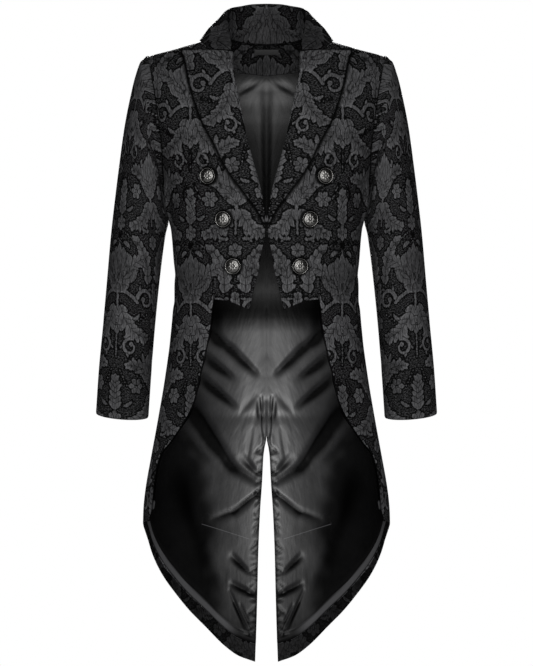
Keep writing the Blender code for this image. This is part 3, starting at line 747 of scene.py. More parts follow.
def shell_mesh(name, outer, inner, fields, looks):
    """A closed wall: a fine outer grid, and an inner grid that takes every second point of its own."""
    rows, columns = outer.shape[:2]
    skip, middle = INNER_SKIP, INNER_SKIP // 2
    coarse = inner[::skip, ::skip]
    points = np.concatenate([outer.reshape(-1, 3), coarse.reshape(-1, 3)]) * MM
    fine = np.arange(rows * columns).reshape(rows, columns)
    thin = np.arange(coarse.shape[0] * coarse.shape[1]).reshape(coarse.shape[:2]) + rows * columns

    def quads(number):
        rounds = [number[:-1, :-1], number[1:, :-1], number[1:, 1:], number[:-1, 1:]]
        return np.stack(rounds, axis=-1).reshape(-1, 4)

    outside, inside = quads(fine).tolist(), quads(thin)[:, ::-1].tolist()
    sides = []
    for edge, back, flip in ((fine[0], thin[0], False), (fine[-1], thin[-1], True),
                             (fine[:, 0], thin[:, 0], True), (fine[:, -1], thin[:, -1], False)):
        for k in range(len(back) - 1):
            line = edge[k * skip:(k + 1) * skip + 1]
            made = [(line[j], line[j + 1], back[k]) for j in range(middle)]
            made += [(line[j], line[j + 1], back[k + 1]) for j in range(middle, skip)]
            made.append((line[middle], back[k + 1], back[k]))
            sides += [triangle[::-1] for triangle in made] if flip else made
    mesh = bpy.data.meshes.new(name)
    mesh.from_pydata(points.tolist(), [], outside + inside + sides)
    mesh.shade_smooth()
    for look in looks:
        mesh.materials.append(look)
    slots = [0] * len(outside) + [len(looks) - 1] * len(inside) + [0] * len(sides)
    mesh.polygons.foreach_set("material_index", slots)
    mesh.validate()
    mesh.set_sharp_from_angle(angle=math.radians(48))
    for title, grid in fields.items():
        both = np.concatenate([grid.reshape(rows * columns, -1),
                               grid[::skip, ::skip].reshape(coarse.shape[0] * coarse.shape[1], -1)])
        kind = "FLOAT" if both.shape[1] == 1 else "FLOAT_VECTOR"
        stored = mesh.attributes.new(title, kind, "POINT")
        stored.data.foreach_set("value" if kind == "FLOAT" else "vector", both.ravel())
    return mesh


def in_scene(name, data):
    """An object of a mesh, a lamp or a camera, linked to the scene."""
    made = bpy.data.objects.new(name, data)
    bpy.context.scene.collection.objects.link(made)
    return made


def place(name, mesh, node, slot):
    """The object of a mesh, in the place of the model's node."""
    piece = in_scene(name, mesh)
    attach(piece, "root")
    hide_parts(node)
    return piece


def turned_over(outer, inner, fields):
    """The grids and fields of a piece with their columns in reverse, which turns its face the other way."""
    return (np.flip(outer, axis=1), np.flip(inner, axis=1),
            {title: np.flip(grid, axis=1) for title, grid in fields.items()})


def cloth_piece(node, outer, inner, fields, looks, slot, held, rests_on, cut):
    """A piece of cloth in the place of the model's node. The grid named cut is not used."""
    mesh = shell_mesh(f"{node}_cloth", outer, inner, fields, looks)
    piece = place(f"{node}_cloth", mesh, node, slot)


def cloth_pair(name, outer, inner, fields, looks, slot, held, rests_on):
    """A piece of cloth on the wearer's left and its mirror image on the right."""
    mirrored = turned_over(outer * MIRROR, inner * MIRROR, fields)
    for side, grids in (("left", (outer, inner, fields)), ("right", mirrored)):
        under = [f"{other}_{side}" for other in rests_on]
        cloth_piece(f"{name}_{side}", *grids, looks, slot, held, under, outer)


def in_metres(cloth):
    """Lengths across and down the cloth, as the materials read them."""
    return np.concatenate([cloth, 0 * cloth[..., :1]], axis=-1) * MM


def cloth_fields(grid, cloth, closed=()):
    """What the brocade's material reads at each point."""
    figure, vein = woven(cloth)
    return {"figure": figure, "vein": vein, "edge": edge_distance(grid, closed), "cloth": in_metres(cloth)}


def body_cloth(places, from_back):
    """Lengths across and down the cloth at places on the body."""
    length = arc_length(places)
    low, high = ARC_HEIGHTS[0], ARC_HEIGHTS[-1]
    if from_back:
        whole = arc_length(np.stack([0 * places[..., 0] + 180, places[..., 1]], axis=-1))
        across = whole - length
    else:
        across = length - np.interp(places[..., 1], np.linspace(low, high, len(AXIS_ARCS)), AXIS_ARCS)
    return np.stack([across, -places[..., 1]], axis=-1)


def body_panel(name, places, from_back, look, inside, rests_on):
    """A panel of brocade on both sides of the body."""
    points = on_body(places)
    fields = cloth_fields(points, body_cloth(places, from_back))
    calm = soft_step(0, 26, fields["edge"])
    moved = creases(BODY_CREASES, arc_length(places), places[..., 1]) * calm
    dip = rounding(fields["edge"])
    fields["edge"] = fields["edge"] * 1.6 + 0.3
    # Painted shadow on the front beside the lapel's edge and round each button, carried in the edge field
    if name == "front":
        gaps = [np.linalg.norm((points - spot)[..., ::2], axis=-1) for spot in on_body(along(LAPEL_EDGE, 80))]
        fields["edge"] = np.minimum(fields["edge"], LAPEL_SHADOW * np.min(gaps, axis=0))
        for button_angle, button_at, _ in BUTTONS:
            reach = np.linalg.norm(points - on_body(np.array([button_angle, button_at])), axis=-1)
            fields["edge"] = np.minimum(fields["edge"], BUTTON_SHADOW * np.maximum(reach - BUTTON_RADIUS, 0))
    cloth_pair(name, on_body(places, dip + moved), on_body(places, -CLOTH - dip * 0.4 + np.minimum(moved, 0)),
               fields, [look, inside], "brocade", "draped", rests_on)


def refine(grid, down, across):
    """A finer grid through the points of a coarse one."""
    rows, columns = grid.shape[:2]
    finer = smooth_curve(np.arange(rows), grid, np.linspace(0, rows - 1, (rows - 1) * down + 1))
    finer = smooth_curve(np.arange(columns), np.swapaxes(finer, 0, 1),
                         np.linspace(0, columns - 1, (columns - 1) * across + 1))
    return np.swapaxes(finer, 0, 1)


def grid_normals(grid, closed):
    """Directions square to a grid of points that runs round a tube."""
    if closed:
        round_it = np.roll(grid[:, :-1], -1, axis=1) - np.roll(grid[:, :-1], 1, axis=1)
        round_it = np.concatenate([round_it, round_it[:, :1]], axis=1)
    else:
        round_it = np.gradient(grid, axis=1)
    normal = np.cross(np.gradient(grid, axis=0), round_it)
    return normal / np.maximum(np.linalg.norm(normal, axis=-1, keepdims=True), 1e-9)


def sleeve_rings(turns, spacing):
    """Rings of points down a sleeve, from the armhole to the cuff, about as far apart as the spacing."""
    places = armhole(turns, -2.0)
    rings = [body_point(places[:, 0], places[:, 1])]
    turn = np.radians(turns)
    for k, (outer_x, outer_z, inner_x, inner_z, middle, half) in enumerate(SLEEVE):
        outer = np.array([outer_x, middle, outer_z])
        inner = np.array([inner_x, middle, inner_z])
        centre, reach = (outer + inner) / 2, (outer - inner) / 2
        ring = centre + np.cos(turn)[:, None] * reach + np.sin(turn)[:, None] * np.array([0, half, 0])
        if k == len(SLEEVE) - 1:
            ring[:, 2] += CUFF_DIP * np.minimum(np.sin(turn), 0)
        rings.append(ring)
    rings = np.array(rings)
    steps = np.linalg.norm(np.diff(rings, axis=0), axis=-1).max(axis=1)
    length = running_total(steps)
    count = int(length[-1] / spacing / 2) * 2
    return smooth_curve(length, rings, np.linspace(0, length[-1], count + 1))


def sleeve(look, inside):
    """A sleeve's two pieces on both sides: the top sleeve, and the under sleeve next to the body."""
    turns = np.linspace(0, 360, 169)
    rings = sleeve_rings(turns, 2.5)
    normals = grid_normals(rings, closed=True)
    if np.sum(normals * (rings - rings.mean(axis=1, keepdims=True))) < 0:
        normals = -normals
    first = body_normal(*armhole(turns, -2.0).T)
    for row in range(6):
        blend = normals[row] * (0.4 + row * 0.1) + first * np.maximum(first[:, 2:3] + 0.4, 0) * (6 - row) / 4
        normals[row] = blend / np.linalg.norm(blend, axis=-1, keepdims=True)
    round_it, down = run_lengths(rings, 1), run_lengths(rings)
    whole = round_it[:, -1:]
    longest = down[-1].max()
    signed = np.where(turns > 180, round_it - whole, round_it)
    split = int(round(SLEEVE_SEAM_AT / (turns[1] - turns[0])))
    seam_at = round_it[:, split:split + 1]
    apart = np.minimum(np.abs(round_it - seam_at), np.abs(round_it - (whole - seam_at)))
    ends = np.minimum(down, down[-1:] - down)
    edge = np.minimum(apart, ends)
    moved = creases(SLEEVE_CREASES, signed, down) * soft_step(0, 20, ends)
    upper = np.clip(np.cos(np.radians(turns)), 0, 1)[None, :] ** 2
    lift = (SLEEVE_HEAD * upper * np.exp(-(down / 5.8) ** 2))[..., None] * np.array([0.0, 0.0, 1.0])
    dip = np.where(edge < EDGE_WIDTH, rounding(edge), 0) * np.where(apart < ends, 0.5, 1.0)
    outer = rings + lift + normals * (moved + dip)[..., None]
    inner = rings + lift * 0.8 - normals * (CLOTH - np.minimum(moved, 0) + dip * 0.4)[..., None]
    cloth = np.stack([signed + 62.0, down - down[-1:] + longest + 24.0], axis=-1)
    under_order = np.arange(split, len(turns) - split)
    top_order = np.concatenate([np.arange(-split, 0) - 1, np.arange(0, split + 1)])
    for name, order in (("top_sleeve", top_order), ("under_sleeve", under_order)):
        fields = cloth_fields(outer[:, order], cloth[:, order])
        beside_seam = apart[:, order] < ends[:, order]
        fields["edge"] = np.where(beside_seam, apart[:, order] * 1.6 + 0.6, ends[:, order] * 1.6 + 0.9)
        cloth_pair(name, outer[:, order], inner[:, order], fields, [look, inside], "brocade", "draped",
                   ["side_body"])


def collar_profiles():
    """The collar's shown face at each station: up inside the stand, over the fold and down the fall."""
    angles = np.array([row[0] for row in COLLAR], float)
    where = np.linspace(angles[0], angles[-1], COLLAR_STATIONS + 1)
    fold, fall, edge = (smooth_curve(angles, [row[k] for row in COLLAR], where) for k in (1, 2, 3))
    neck_height = smooth_curve([43, 66, 90, 120, 150, 180], [-10, 12, 25, 23, 19, 17], where)
    lift = smooth_curve([43, 58, 75, 180], [CLOTH + 0.9, 2.2, 0.8, 0.7], where)
    seam = on_body(np.stack([where, neck_height], axis=-1), lift)
    outward = (edge - fold) * (1, 1, 0)
    outward = outward / np.linalg.norm(outward, axis=-1, keepdims=True)
    stand = fold - seam
    drop = np.minimum(np.linalg.norm(stand, axis=-1, keepdims=True) * 0.4, 6.0) * (0, 0, 1)
    profile = np.array([
        seam, seam + stand * 0.45 - outward * 1.5, fold - outward * FOLD_RADIUS - drop, fold - outward * 1.5,
        fold + outward * 2.5 - (0, 0, 1.2), fold * 0.62 + fall * 0.38 + outward * 1.5, fall,
        fall * 0.45 + edge * 0.55 + (0, 0, 1.0), edge])
    seam, fold, fall, edge = (line[0] for line in (seam, fold, fall, edge))
    profile[:, 0] = [seam, seam * 0.6 + fold * 0.4, seam * 0.3 + fold * 0.7, fold, fold * 0.9 + fall * 0.1,
                     fold * 0.55 + fall * 0.45, fall, fall * 0.45 + edge * 0.55, edge]
    return profile


def collar(look):
    """The collar, one wall that stands round the neck and turns down on the outside."""
    left = collar_profiles()
    right = (left * MIRROR)[:, ::-1]
    whole = refine(np.concatenate([left, right[:, 1:]], axis=1), 8, 12)
    normals = grid_normals(whole, closed=False)
    if normals[24:40, :, 2].mean() < 0:
        normals = -normals
    across, down = run_lengths(whole, 1), run_lengths(whole)
    fields = cloth_fields(whole, np.stack([across - across[:, -1:] / 2, down + 40.0], axis=-1))
    dip = rounding(fields["edge"])
    cloth_piece("collar", whole + normals * dip[..., None], whole - normals * (CLOTH + dip * 0.4)[..., None],
                fields, [look], "brocade", "folded", ["back_left", "back_right"], whole)


def lapel(look):
    """The turned-back lapels. Each rolls over at its fold and bellies out behind it."""
    rows, columns = 128, 28
    fold = along(LAPEL_TOP[:1] + ROLL_LINE[1:], rows)
    edge = along(LAPEL_EDGE, rows)
    top = along(LAPEL_TOP, columns)
    bottom = np.linspace(fold[-1], edge[-1], columns + 1)
    top[0], top[-1] = fold[0], edge[0]
    places = patch(top, bottom, fold, edge)
    share = np.linspace(0, 1, columns + 1)[None, :]
    fall = np.linspace(0, 1, rows + 1)[:, None]
    belly = 0.7 + 3.0 * np.sin(np.pi * np.minimum(share + 0.12, 1.0)) * (1 - 0.75 * fall)
    roll = [(-0.3, -2.6), (-0.9, -1.2), (-1.1, 0.4), (-0.6, 1.6)]
    outer = [on_body(shifted(fold, turn), CLOTH + belly[:, 0] * 0.5 + out - 1.4) for turn, out in roll]
    outer = np.concatenate([np.stack(outer, axis=1), on_body(places, belly + CLOTH)], axis=1)
    under = [on_body(shifted(fold, turn * 0.35), 0.2 + out * 0.1) for turn, out in roll]
    under = np.concatenate([np.stack(under, axis=1), on_body(places, belly)], axis=1)
    x, z = outer[..., 0], outer[..., 2]
    slant = math.radians(LAPEL_SLANT)
    cloth = np.stack([(x - LAPEL_AXIS_X) * math.cos(slant) + z * math.sin(slant) + LAPEL_SHIFT[0],
                      -z * math.cos(slant) + (x - LAPEL_AXIS_X) * math.sin(slant) + LAPEL_SHIFT[1]], axis=-1)
    fields = cloth_fields(outer, cloth, closed=("left", "top"))
    fields["edge"] = fields["edge"] * LAPEL_CORD
    cut = edge_distance(outer, closed=("left",))
    normals = grid_normals(outer, closed=False)
    if normals[:, 8:, 1].mean() > 0:
        normals = -normals
    moved = outer + normals * (rounding(cut) + LAPEL_LIFT * soft_step(14, 2, cut))[..., None]
    cloth_pair("lapel", moved, under, fields, [look], "brocade", "folded", ["front"])


def line_distance(table, across, down):
    """The distance to the nearest of some straight lines, signed by its side, and large past their ends."""
    nearest = np.full(across.shape, 20.0)
    for line in table:
        ahead, beside, length = from_line(line, across, down)
        closer = (ahead > -1.0) & (ahead < length + 1.0) & (np.abs(beside) < np.abs(nearest))
        nearest = np.where(closer, beside, nearest)
    return nearest


def satin_light(points):
    """Painted light and shade on the lining's satin at each point: darker past the shade line, dimmer above
    the waist and towards the hem, and darker in its folds.
    """
    across, height = np.abs(points[..., 0]), points[..., 2]
    shade_heights, shade_places = np.array(SHADE_LINE[::-1], float).T
    sway = 4.0 * np.sin(height / 17.0) + 3.0 * np.sin(height / 7.3 + across / 11.0)
    past = across + sway - np.interp(height, shade_heights, shade_places)
    # Painted shade: how far each point lies past the shade line
    turned = soft_step(-SHADE_SOFTNESS, SHADE_SOFTNESS, past)
    light_heights, light_shares = np.array(INNER_LIGHT[::-1], float).T
    light = (1 - (1 - SHADED_SHARE) * turned) * np.interp(height, light_heights, light_shares)
    # Painted shade in the folds and the vent's puckers, deepest in their troughs and on their sides that face
    # down and outward
    table = LINING_FOLDS + vent_puckers()
    slope = creases(table, across - 1.5, height + 1.5) - creases(table, across + 1.5, height - 1.5)
    depth = np.maximum(creases(table, across, height), 0)
    return light * np.clip(1 - FOLD_DARK * depth - FOLD_SHADE * slope, 0.10, 1.12)


def vent_puckers():
    """Rows of short folds that run out from the vent's edge, uneven in length and slant."""
    first, last, spacing, length, width, depth = VENT_PUCKERS
    rows = []
    for k, height in enumerate(np.arange(first, last, spacing)):
        reach = length * (0.45 + 0.75 * abs(math.sin(2.1 * k)))
        inner = 3.0 + 0.048 * (first - height) + 6.0 * max(0.0, math.sin(4.3 * k))
        height += 3.0 * math.sin(5.1 * k)
        rows.append((inner, height, inner + reach, height - 4.0 - 7.0 * math.sin(1.3 * k), width,
                     depth * (0.3 + 0.8 * abs(math.sin(3.7 * k)))))
    return rows


def lining_depth(points, foot):
    """How far the lining's face stands in from the outer cloth, folds and all, and where its puff at the hem
    lies, which gets a painted highlight.
    """
    across, height = np.abs(points[..., 0]), points[..., 2]
    folds = creases(LINING_FOLDS, across, height)
    sewn = creases(vent_puckers(), across, height)
    loose = soft_step(0, 30, edge_distance(points, closed=("left", "right")))
    stripe = soft_step(0, 2.5, foot) * (1 - soft_step(HEM_PUFF_WIDTH - 1.5, HEM_PUFF_WIDTH + 1.5, foot))
    taper = soft_step(48, 78, across)
    return LINING_GAP + LINING + (folds + 2.0) * loose + sewn + 2.2 * stripe, stripe * taper


def lining(name, places, look, rests_on):
    """A panel of satin inside the outer cloth, on both sides, with its folds."""
    points = on_body(places)
    depth, stripe = lining_depth(points, run_lengths(points[::-1])[::-1])
    face = on_body(places, -CLOTH - depth)
    back = on_body(places, -CLOTH - depth + LINING)
    for grid in (face, back):
        joined = places[:, 0, 0] > 180 - SEAM
        grid[joined, 0, 0] = 0.0
    cloth = np.stack([arc_length(places), -places[..., 1]], axis=-1)
    # Painted shade: the lining is darker near its cut edges, where it meets the outer cloth; the back lining
    # has none above the top of the vent
    rim = soft_step(0, 7, edge_distance(points, closed=("right",)))
    if name == "back_lining":
        rim = np.where(points[..., 2] > VENT[0][1], 1.0, rim)
    fields = {"stripe": stripe, "light": satin_light(points) * (0.15 + 0.85 * rim),
              "pressed": line_distance(LINING_LINES, np.abs(points[..., 0]), points[..., 2]),
              "cloth": in_metres(cloth)}
    cloth_pair(name, *turned_over(face, back, fields), [look], "satin", "draped", rests_on)


def tail_facing(side, back, look):
    """The border of outer cloth inside the curved hem of a tail."""
    strip = np.concatenate([side[-HEM_ROWS - 1:, :-1], back[-HEM_ROWS - 1:, ::-1]], axis=1)
    strip[0] += (strip[1] - strip[0]) * 0.25
    fields = cloth_fields(on_body(strip, FACING_FACE), body_cloth(strip, True))
    dip = rounding(fields["edge"]) * 0.5
    grids = turned_over(on_body(strip, FACING_FACE - dip), on_body(strip, FACING_BACK), fields)
    cloth_pair("tail_facing", *grids, [look], "brocade", "laid", ["side_body", "back"])


def neck_facing(places, look):
    """The brocade band inside the back neck, in one piece across the centre."""
    rows = places[:3 * SHOULDER_FINE + 1]
    rows = np.concatenate([rows[:, :1], rows[:, 2:]], axis=1)[:, :-1]
    rows = rows[:, :rows.shape[1] // 2 * 2 + 1]
    whole = []
    for depth in (FACING_FACE, FACING_BACK):
        left = on_body(rows, depth)
        left[:, 0, 0] = 0.0
        whole.append(np.concatenate([(left * MIRROR)[:, ::-1], left[:, 1:]], axis=1))
    face, back = whole
    across = run_lengths(face, 1)
    cloth = np.stack([across - across[:, -1:] / 2, -face[..., 2] + 24.0], axis=-1)
    fields = cloth_fields(face, cloth)
    cloth_piece("neck_facing", face, back, fields, [look], "brocade", "laid",
                ["back_left", "back_right"], face)


def simple_mesh(name, points, faces, look):
    """A smooth mesh from points in millimetres."""
    mesh = bpy.data.meshes.new(name)
    mesh.from_pydata((np.asarray(points) * MM).tolist(), [], faces)
    mesh.materials.append(look)
    mesh.shade_smooth()
    return mesh


def ring_faces(rings, sides):
    """Faces between neighbouring rings of points, which are numbered ring by ring."""
    faces = []
    for low in range(0, (rings - 1) * sides, sides):
        for k in range(sides):
            after = (k + 1) % sides
            faces.append((low + k, low + after, low + sides + after, low + sides + k))
    return faces


def button_height(share, turn):
    """Height of a button's face at a share of its radius and a turn, and how proud its relief stands there.

    The face is a dome with a rosette and a ring of beads, inside a groove and a raised rim.
    """
    dome = 0.50 + 0.36 * math.sqrt(max(0.0, 1 - (share / 0.84) ** 2)) if share < 0.84 else 0.50
    rim = 0.19 * math.exp(-((share - 0.94) / 0.045) ** 2)
    beads = 0.03 * max(0.0, math.cos(BUTTON_BEADS * turn)) * math.exp(-((share - 0.73) / 0.04) ** 2)
    petals = abs(math.cos(BUTTON_PETALS / 2 * turn)) ** 0.7
    reach = 0.26 + 0.34 * petals
    rosette = 0.06 * (1 - float(soft_step(reach - 0.08, reach + 0.04, share))) * (0.4 + 0.6 * petals)
    heart = 0.05 * math.exp(-(share / 0.13) ** 2) - 0.07 * math.exp(-((share - 0.22) / 0.05) ** 2)
    groove = -0.13 * math.exp(-((share - 0.865) / 0.042) ** 2)
    relief = rim + beads + rosette + heart + groove
    return dome + relief, relief


def button(number, place_on, side, look):
    """A domed metal button with a generic rosette on it."""
    node = f"button_{'left' if side > 0 else 'right'}_{number}"
    spot = np.array(place_on[:2])
    centre = on_body(spot[None], place_on[2])[0] * (side, 1, 1)
    out = body_normal(spot[None, 0], spot[None, 1])[0] * (side, 1, 1)
    sideways = np.cross((0, 0, 1), out)
    sideways /= np.linalg.norm(sideways)
    upward = np.cross(out, sideways)
    rings = BUTTON_BACK + [(share, None) for share in np.linspace(*BUTTON_FACE)]
    placed, reliefs = [], []
    for share, rim_rise in rings:
        for k in range(BUTTON_SEGMENTS):
            turn = math.tau * k / BUTTON_SEGMENTS
            rise, relief = button_height(share, turn) if rim_rise is None else (rim_rise, 0.0)
            reliefs.append(relief)
            outward = sideways * math.cos(turn) + upward * math.sin(turn)
            placed.append(centre + outward * share * BUTTON_RADIUS + out * rise * BUTTON_HEIGHT)
    top, relief = button_height(0.0, 0.0)
    placed += [centre + out * top * BUTTON_HEIGHT, centre]
    reliefs += [relief, 0.0]
    faces = ring_faces(len(rings), BUTTON_SEGMENTS)
    last = (len(rings) - 1) * BUTTON_SEGMENTS
    for k in range(BUTTON_SEGMENTS):
        after = (k + 1) % BUTTON_SEGMENTS
        faces.append((last + k, last + after, len(placed) - 2))
        faces.append((after, k, len(placed) - 1))
    mesh = simple_mesh(f"{node}_metal", placed, faces, look)
    mesh.attributes.new("relief", "FLOAT", "POINT").data.foreach_set("value", reliefs)
    place(f"{node}_metal", mesh, node, "antique_silver")


def wire(path, radius, sides=8):
    """Points and faces of a round wire along a path."""
    path = np.asarray(path, float)
    ahead = np.gradient(path, axis=0)
    ahead /= np.linalg.norm(ahead, axis=1, keepdims=True)
    beside = np.cross(ahead, (0.0, 1.0, 0.05))
    beside /= np.linalg.norm(beside, axis=1, keepdims=True)
    above = np.cross(beside, ahead)
    turn = np.arange(sides) * math.tau / sides
    points = (path[:, None] + radius * (np.cos(turn)[None, :, None] * beside[:, None]
                                        + np.sin(turn)[None, :, None] * above[:, None])).reshape(-1, 3)
    faces = ring_faces(len(path), sides)
    faces.append(tuple(range(sides))[::-1])
    faces.append(tuple((len(path) - 1) * sides + k for k in range(sides)))
    return points, faces


def hook_and_eye(look):
    """The bent wire hook on the left front and the wire eye on the right front."""
    surface = on_body(np.array([[0.9, HOOK_HEIGHT]]))[0]
    y = surface[1] + CLOTH + 1.2
    t = np.linspace(0, 1, 40)
    hook_path = np.stack([9.2 - 9.6 * t, y + 0 * t, HOOK_HEIGHT + 1.1 * np.sin(t * math.tau)], axis=1)
    eye_turn = np.radians(200 - 400 * t * 0.8)
    eye_path = np.stack([-6.4 - 3.6 * np.cos(eye_turn), y + 0 * t, HOOK_HEIGHT + 2.4 * np.sin(eye_turn)],
                        axis=1)
    for node, path in (("hook", hook_path), ("eye", eye_path)):
        points, faces = wire(path, WIRE_RADIUS)
        place(f"{node}_wire", simple_mesh(f"{node}_wire", points, faces, look), node, "black_metal")


def label(look):
    """The bare label sewn to the neck facing, with its edges turned under."""
    away = body_normal(np.array([180.0]), np.array([LABEL_HEIGHT]))[0]
    middle = on_body(np.array([[180.0, LABEL_HEIGHT]]), FACING_FACE - 0.9)[0]
    up = np.cross(away, (1.0, 0.0, 0.0))
    up = up if up[2] > 0 else -up
    rows, columns = 8, 40
    across = np.linspace(-0.5, 0.5, columns + 1)[None, :, None]
    down = np.linspace(0.5, -0.5, rows + 1)[:, None, None]
    beside, behind = on_body(np.array([[166.0, LABEL_HEIGHT], [180.0, LABEL_HEIGHT]]), 0)
    spread = across * LABEL[0] * np.array([1.0, 0.0, 0.0]) + down * LABEL[1] * up
    grid = middle + spread + (2 * across) ** 2 * np.array([0.0, beside[1] - behind[1], 0.0])
    distance = edge_distance(grid)
    face = grid - away * (LABEL[2] + rounding(distance)[..., None] * 0.4)
    cloth = np.concatenate(np.broadcast_arrays(across * LABEL[0], down * LABEL[1], 0 * down), axis=-1)
    grids = turned_over(face, grid, {"edge": distance, "cloth": cloth * MM})
    cloth_piece("label", *grids, [look], "label_cloth", "laid", ["neck_facing"], grid)


# Materials


class Value:
    """The output of a node, with arithmetic that makes further nodes."""

    def __init__(self, nodes, socket):
        self.nodes = nodes
        self.socket = socket

    def __add__(self, other):
        return self.nodes.math("ADD", self, other)

    def __sub__(self, other):
        return self.nodes.math("SUBTRACT", self, other)

    def __rsub__(self, other):
        return self.nodes.math("SUBTRACT", other, self)

    def __mul__(self, other):
        return self.nodes.math("MULTIPLY", self, other)

    def __abs__(self):
        return self.nodes.math("ABSOLUTE", self)


class Nodes:
    """Makes the nodes of one material, each in a line."""

    def __init__(self, name):
        self.material = bpy.data.materials.new(name)
        self.material.use_nodes = True
        self.tree = self.material.node_tree
        self.shader = self.tree.nodes["Principled BSDF"]

    def add(self, kind, inputs=None, out=0, **settings):
        """A node with its settings and inputs; an input is a number, a colour or another node's output."""
        made = self.tree.nodes.new(kind)
        for name, setting in settings.items():
            setattr(made, name, setting)
        for key, given in (inputs or {}).items():
            self.give(made.inputs[key], given)
        return Value(self, made.outputs[out])

    def give(self, socket, given):
        """Sets or links one input."""
        if isinstance(given, Value):
            self.tree.links.new(given.socket, socket)
        else:
            socket.default_value = given

    def shade(self, **inputs):
        """Sets or links inputs of the shader, named with low lines for spaces."""
        for name, given in inputs.items():
            self.give(self.shader.inputs[name.replace("_", " ")], given)

    def attribute(self, name, out="Fac"):
        """One of the mesh's own fields."""
        return self.add("ShaderNodeAttribute", out=out, attribute_name=name)

    def math(self, operation, first, second=0.0):
        """Arithmetic on one or two values."""
        return self.add("ShaderNodeMath", {0: first, 1: second}, operation=operation)

    def ramp(self, value, low, high, first=0.0, last=1.0):
        """A smooth change from the first value to the last between two ends."""
        ends = {"Value": value, "From Min": low, "From Max": high, "To Min": first, "To Max": last}
        return self.add("ShaderNodeMapRange", ends, interpolation_type="SMOOTHSTEP")

    def noise(self, vector, scale, detail=2.0, roughness=0.5):
        """Soft noise."""
        settings = {"Vector": vector, "Scale": scale, "Detail": detail, "Roughness": roughness}
        return self.add("ShaderNodeTexNoise", settings)

    def stretched(self, vector, across, down):
        """The cloth's lengths, scaled apart."""
        return self.add("ShaderNodeVectorMath", {0: vector, 1: (across, down, 1.0)}, operation="MULTIPLY")

    def mix(self, factor, first, second):
        """A blend of two colours."""
        return self.add("ShaderNodeMix", {0: factor, 6: first, 7: second}, out=2, data_type="RGBA")

    def grey(self, tone):
        """A colour as bright as a value, and a little cool."""
        return self.add("ShaderNodeCombineColor", {0: tone, 1: tone, 2: tone * 1.04})

    def bump(self, height, distance, strength=1.0):
        """A bump from a height, joined to the shader."""
        settings = {"Height": height, "Distance": distance, "Strength": strength}
        self.shade(Normal=self.add("ShaderNodeBump", settings))


def brocade_material(name, strength):
    """Matt crepe ground with a smoother woven figure, dark lines round it and inside it."""
    n = Nodes(name)
    figure, vein, edge = (n.attribute(field) for field in ("figure", "vein", "edge"))
    cloth = n.attribute("cloth", "Vector")
    fray = n.noise(n.stretched(cloth, 1.0, 0.55), 380.0, 2.0, 0.7) - 0.5
    figure = figure + fray * FRAY
    vein = vein + fray * (FRAY * 0.6)
    inside = n.ramp(figure, 0.5, -0.5)
    outline = n.ramp(abs(figure - 0.8), 1.7, 0.6)
    dark = n.math("MAXIMUM", outline, n.ramp(abs(vein), 0.95, 0.3, 0.0, 0.88) * inside)
    pebble = n.noise(n.stretched(cloth, 0.45, 1.0), 640.0, 2.0, 0.65)
    crepe = n.noise(n.stretched(cloth, 1.0, 1.3), 900.0, 1.0, 0.5)
    thread = n.noise(n.stretched(cloth, 520.0, 90.0), 1.0, 2.0, 0.6)
    rib = n.noise(n.stretched(cloth, 60.0, 1100.0), 1.0, 1.0, 0.5)
    cloudy = n.noise(cloth, 14.0, 3.0, 0.6)
    ground = n.ramp(pebble * 0.7 + crepe * 0.3, 0.47, 0.61, 0.0002, 0.047)
    # A brighter band just inside the figure's outline: a painted highlight on the figure's raised edge
    rim = n.ramp(abs(figure + 1.7), 1.4, 0.3)
    streak = n.math("SINE", vein * STREAK_TURN + thread * 1.5)
    hatch = n.ramp(n.noise(n.stretched(cloth, 700.0, 150.0), 1.0, 1.0, 0.5), 0.46, 0.36, 0.0, 0.55)
    leaf_tone = n.ramp(thread, 0.33, 0.67, 0.030, 0.076) + n.ramp(cloudy, 0.35, 0.65, -0.006, 0.022)
    leaf_tone = leaf_tone * (rim * 0.34 + 0.84 + streak * 0.16) * (1.0 - hatch)
    tone = (leaf_tone * inside + ground * (1.0 - inside)) * (1.0 - dark * 0.96)
    rough = 0.82 - inside * 0.30
    # Darker where the edge field is small: dark seam lines, the lapel's dark cord, and painted shadow beside
    # the lapels and round the buttons; a strength below one darkens the whole cloth, as painted shade
    n.shade(Base_Color=n.grey(tone * n.ramp(edge, 0.3, 1.5, 0.04 * strength, strength)),
            Roughness=rough + n.ramp(pebble, 0.3, 0.7, -0.06, 0.06), Specular_IOR_Level=0.05)
    grain = (pebble + crepe * -0.5) * (1.0 - inside * 0.75)
    n.bump(inside * 0.35 + grain * 0.9 + (thread + rib) * 0.06 - dark * 0.30, 0.0009, 0.8)
    return n.material


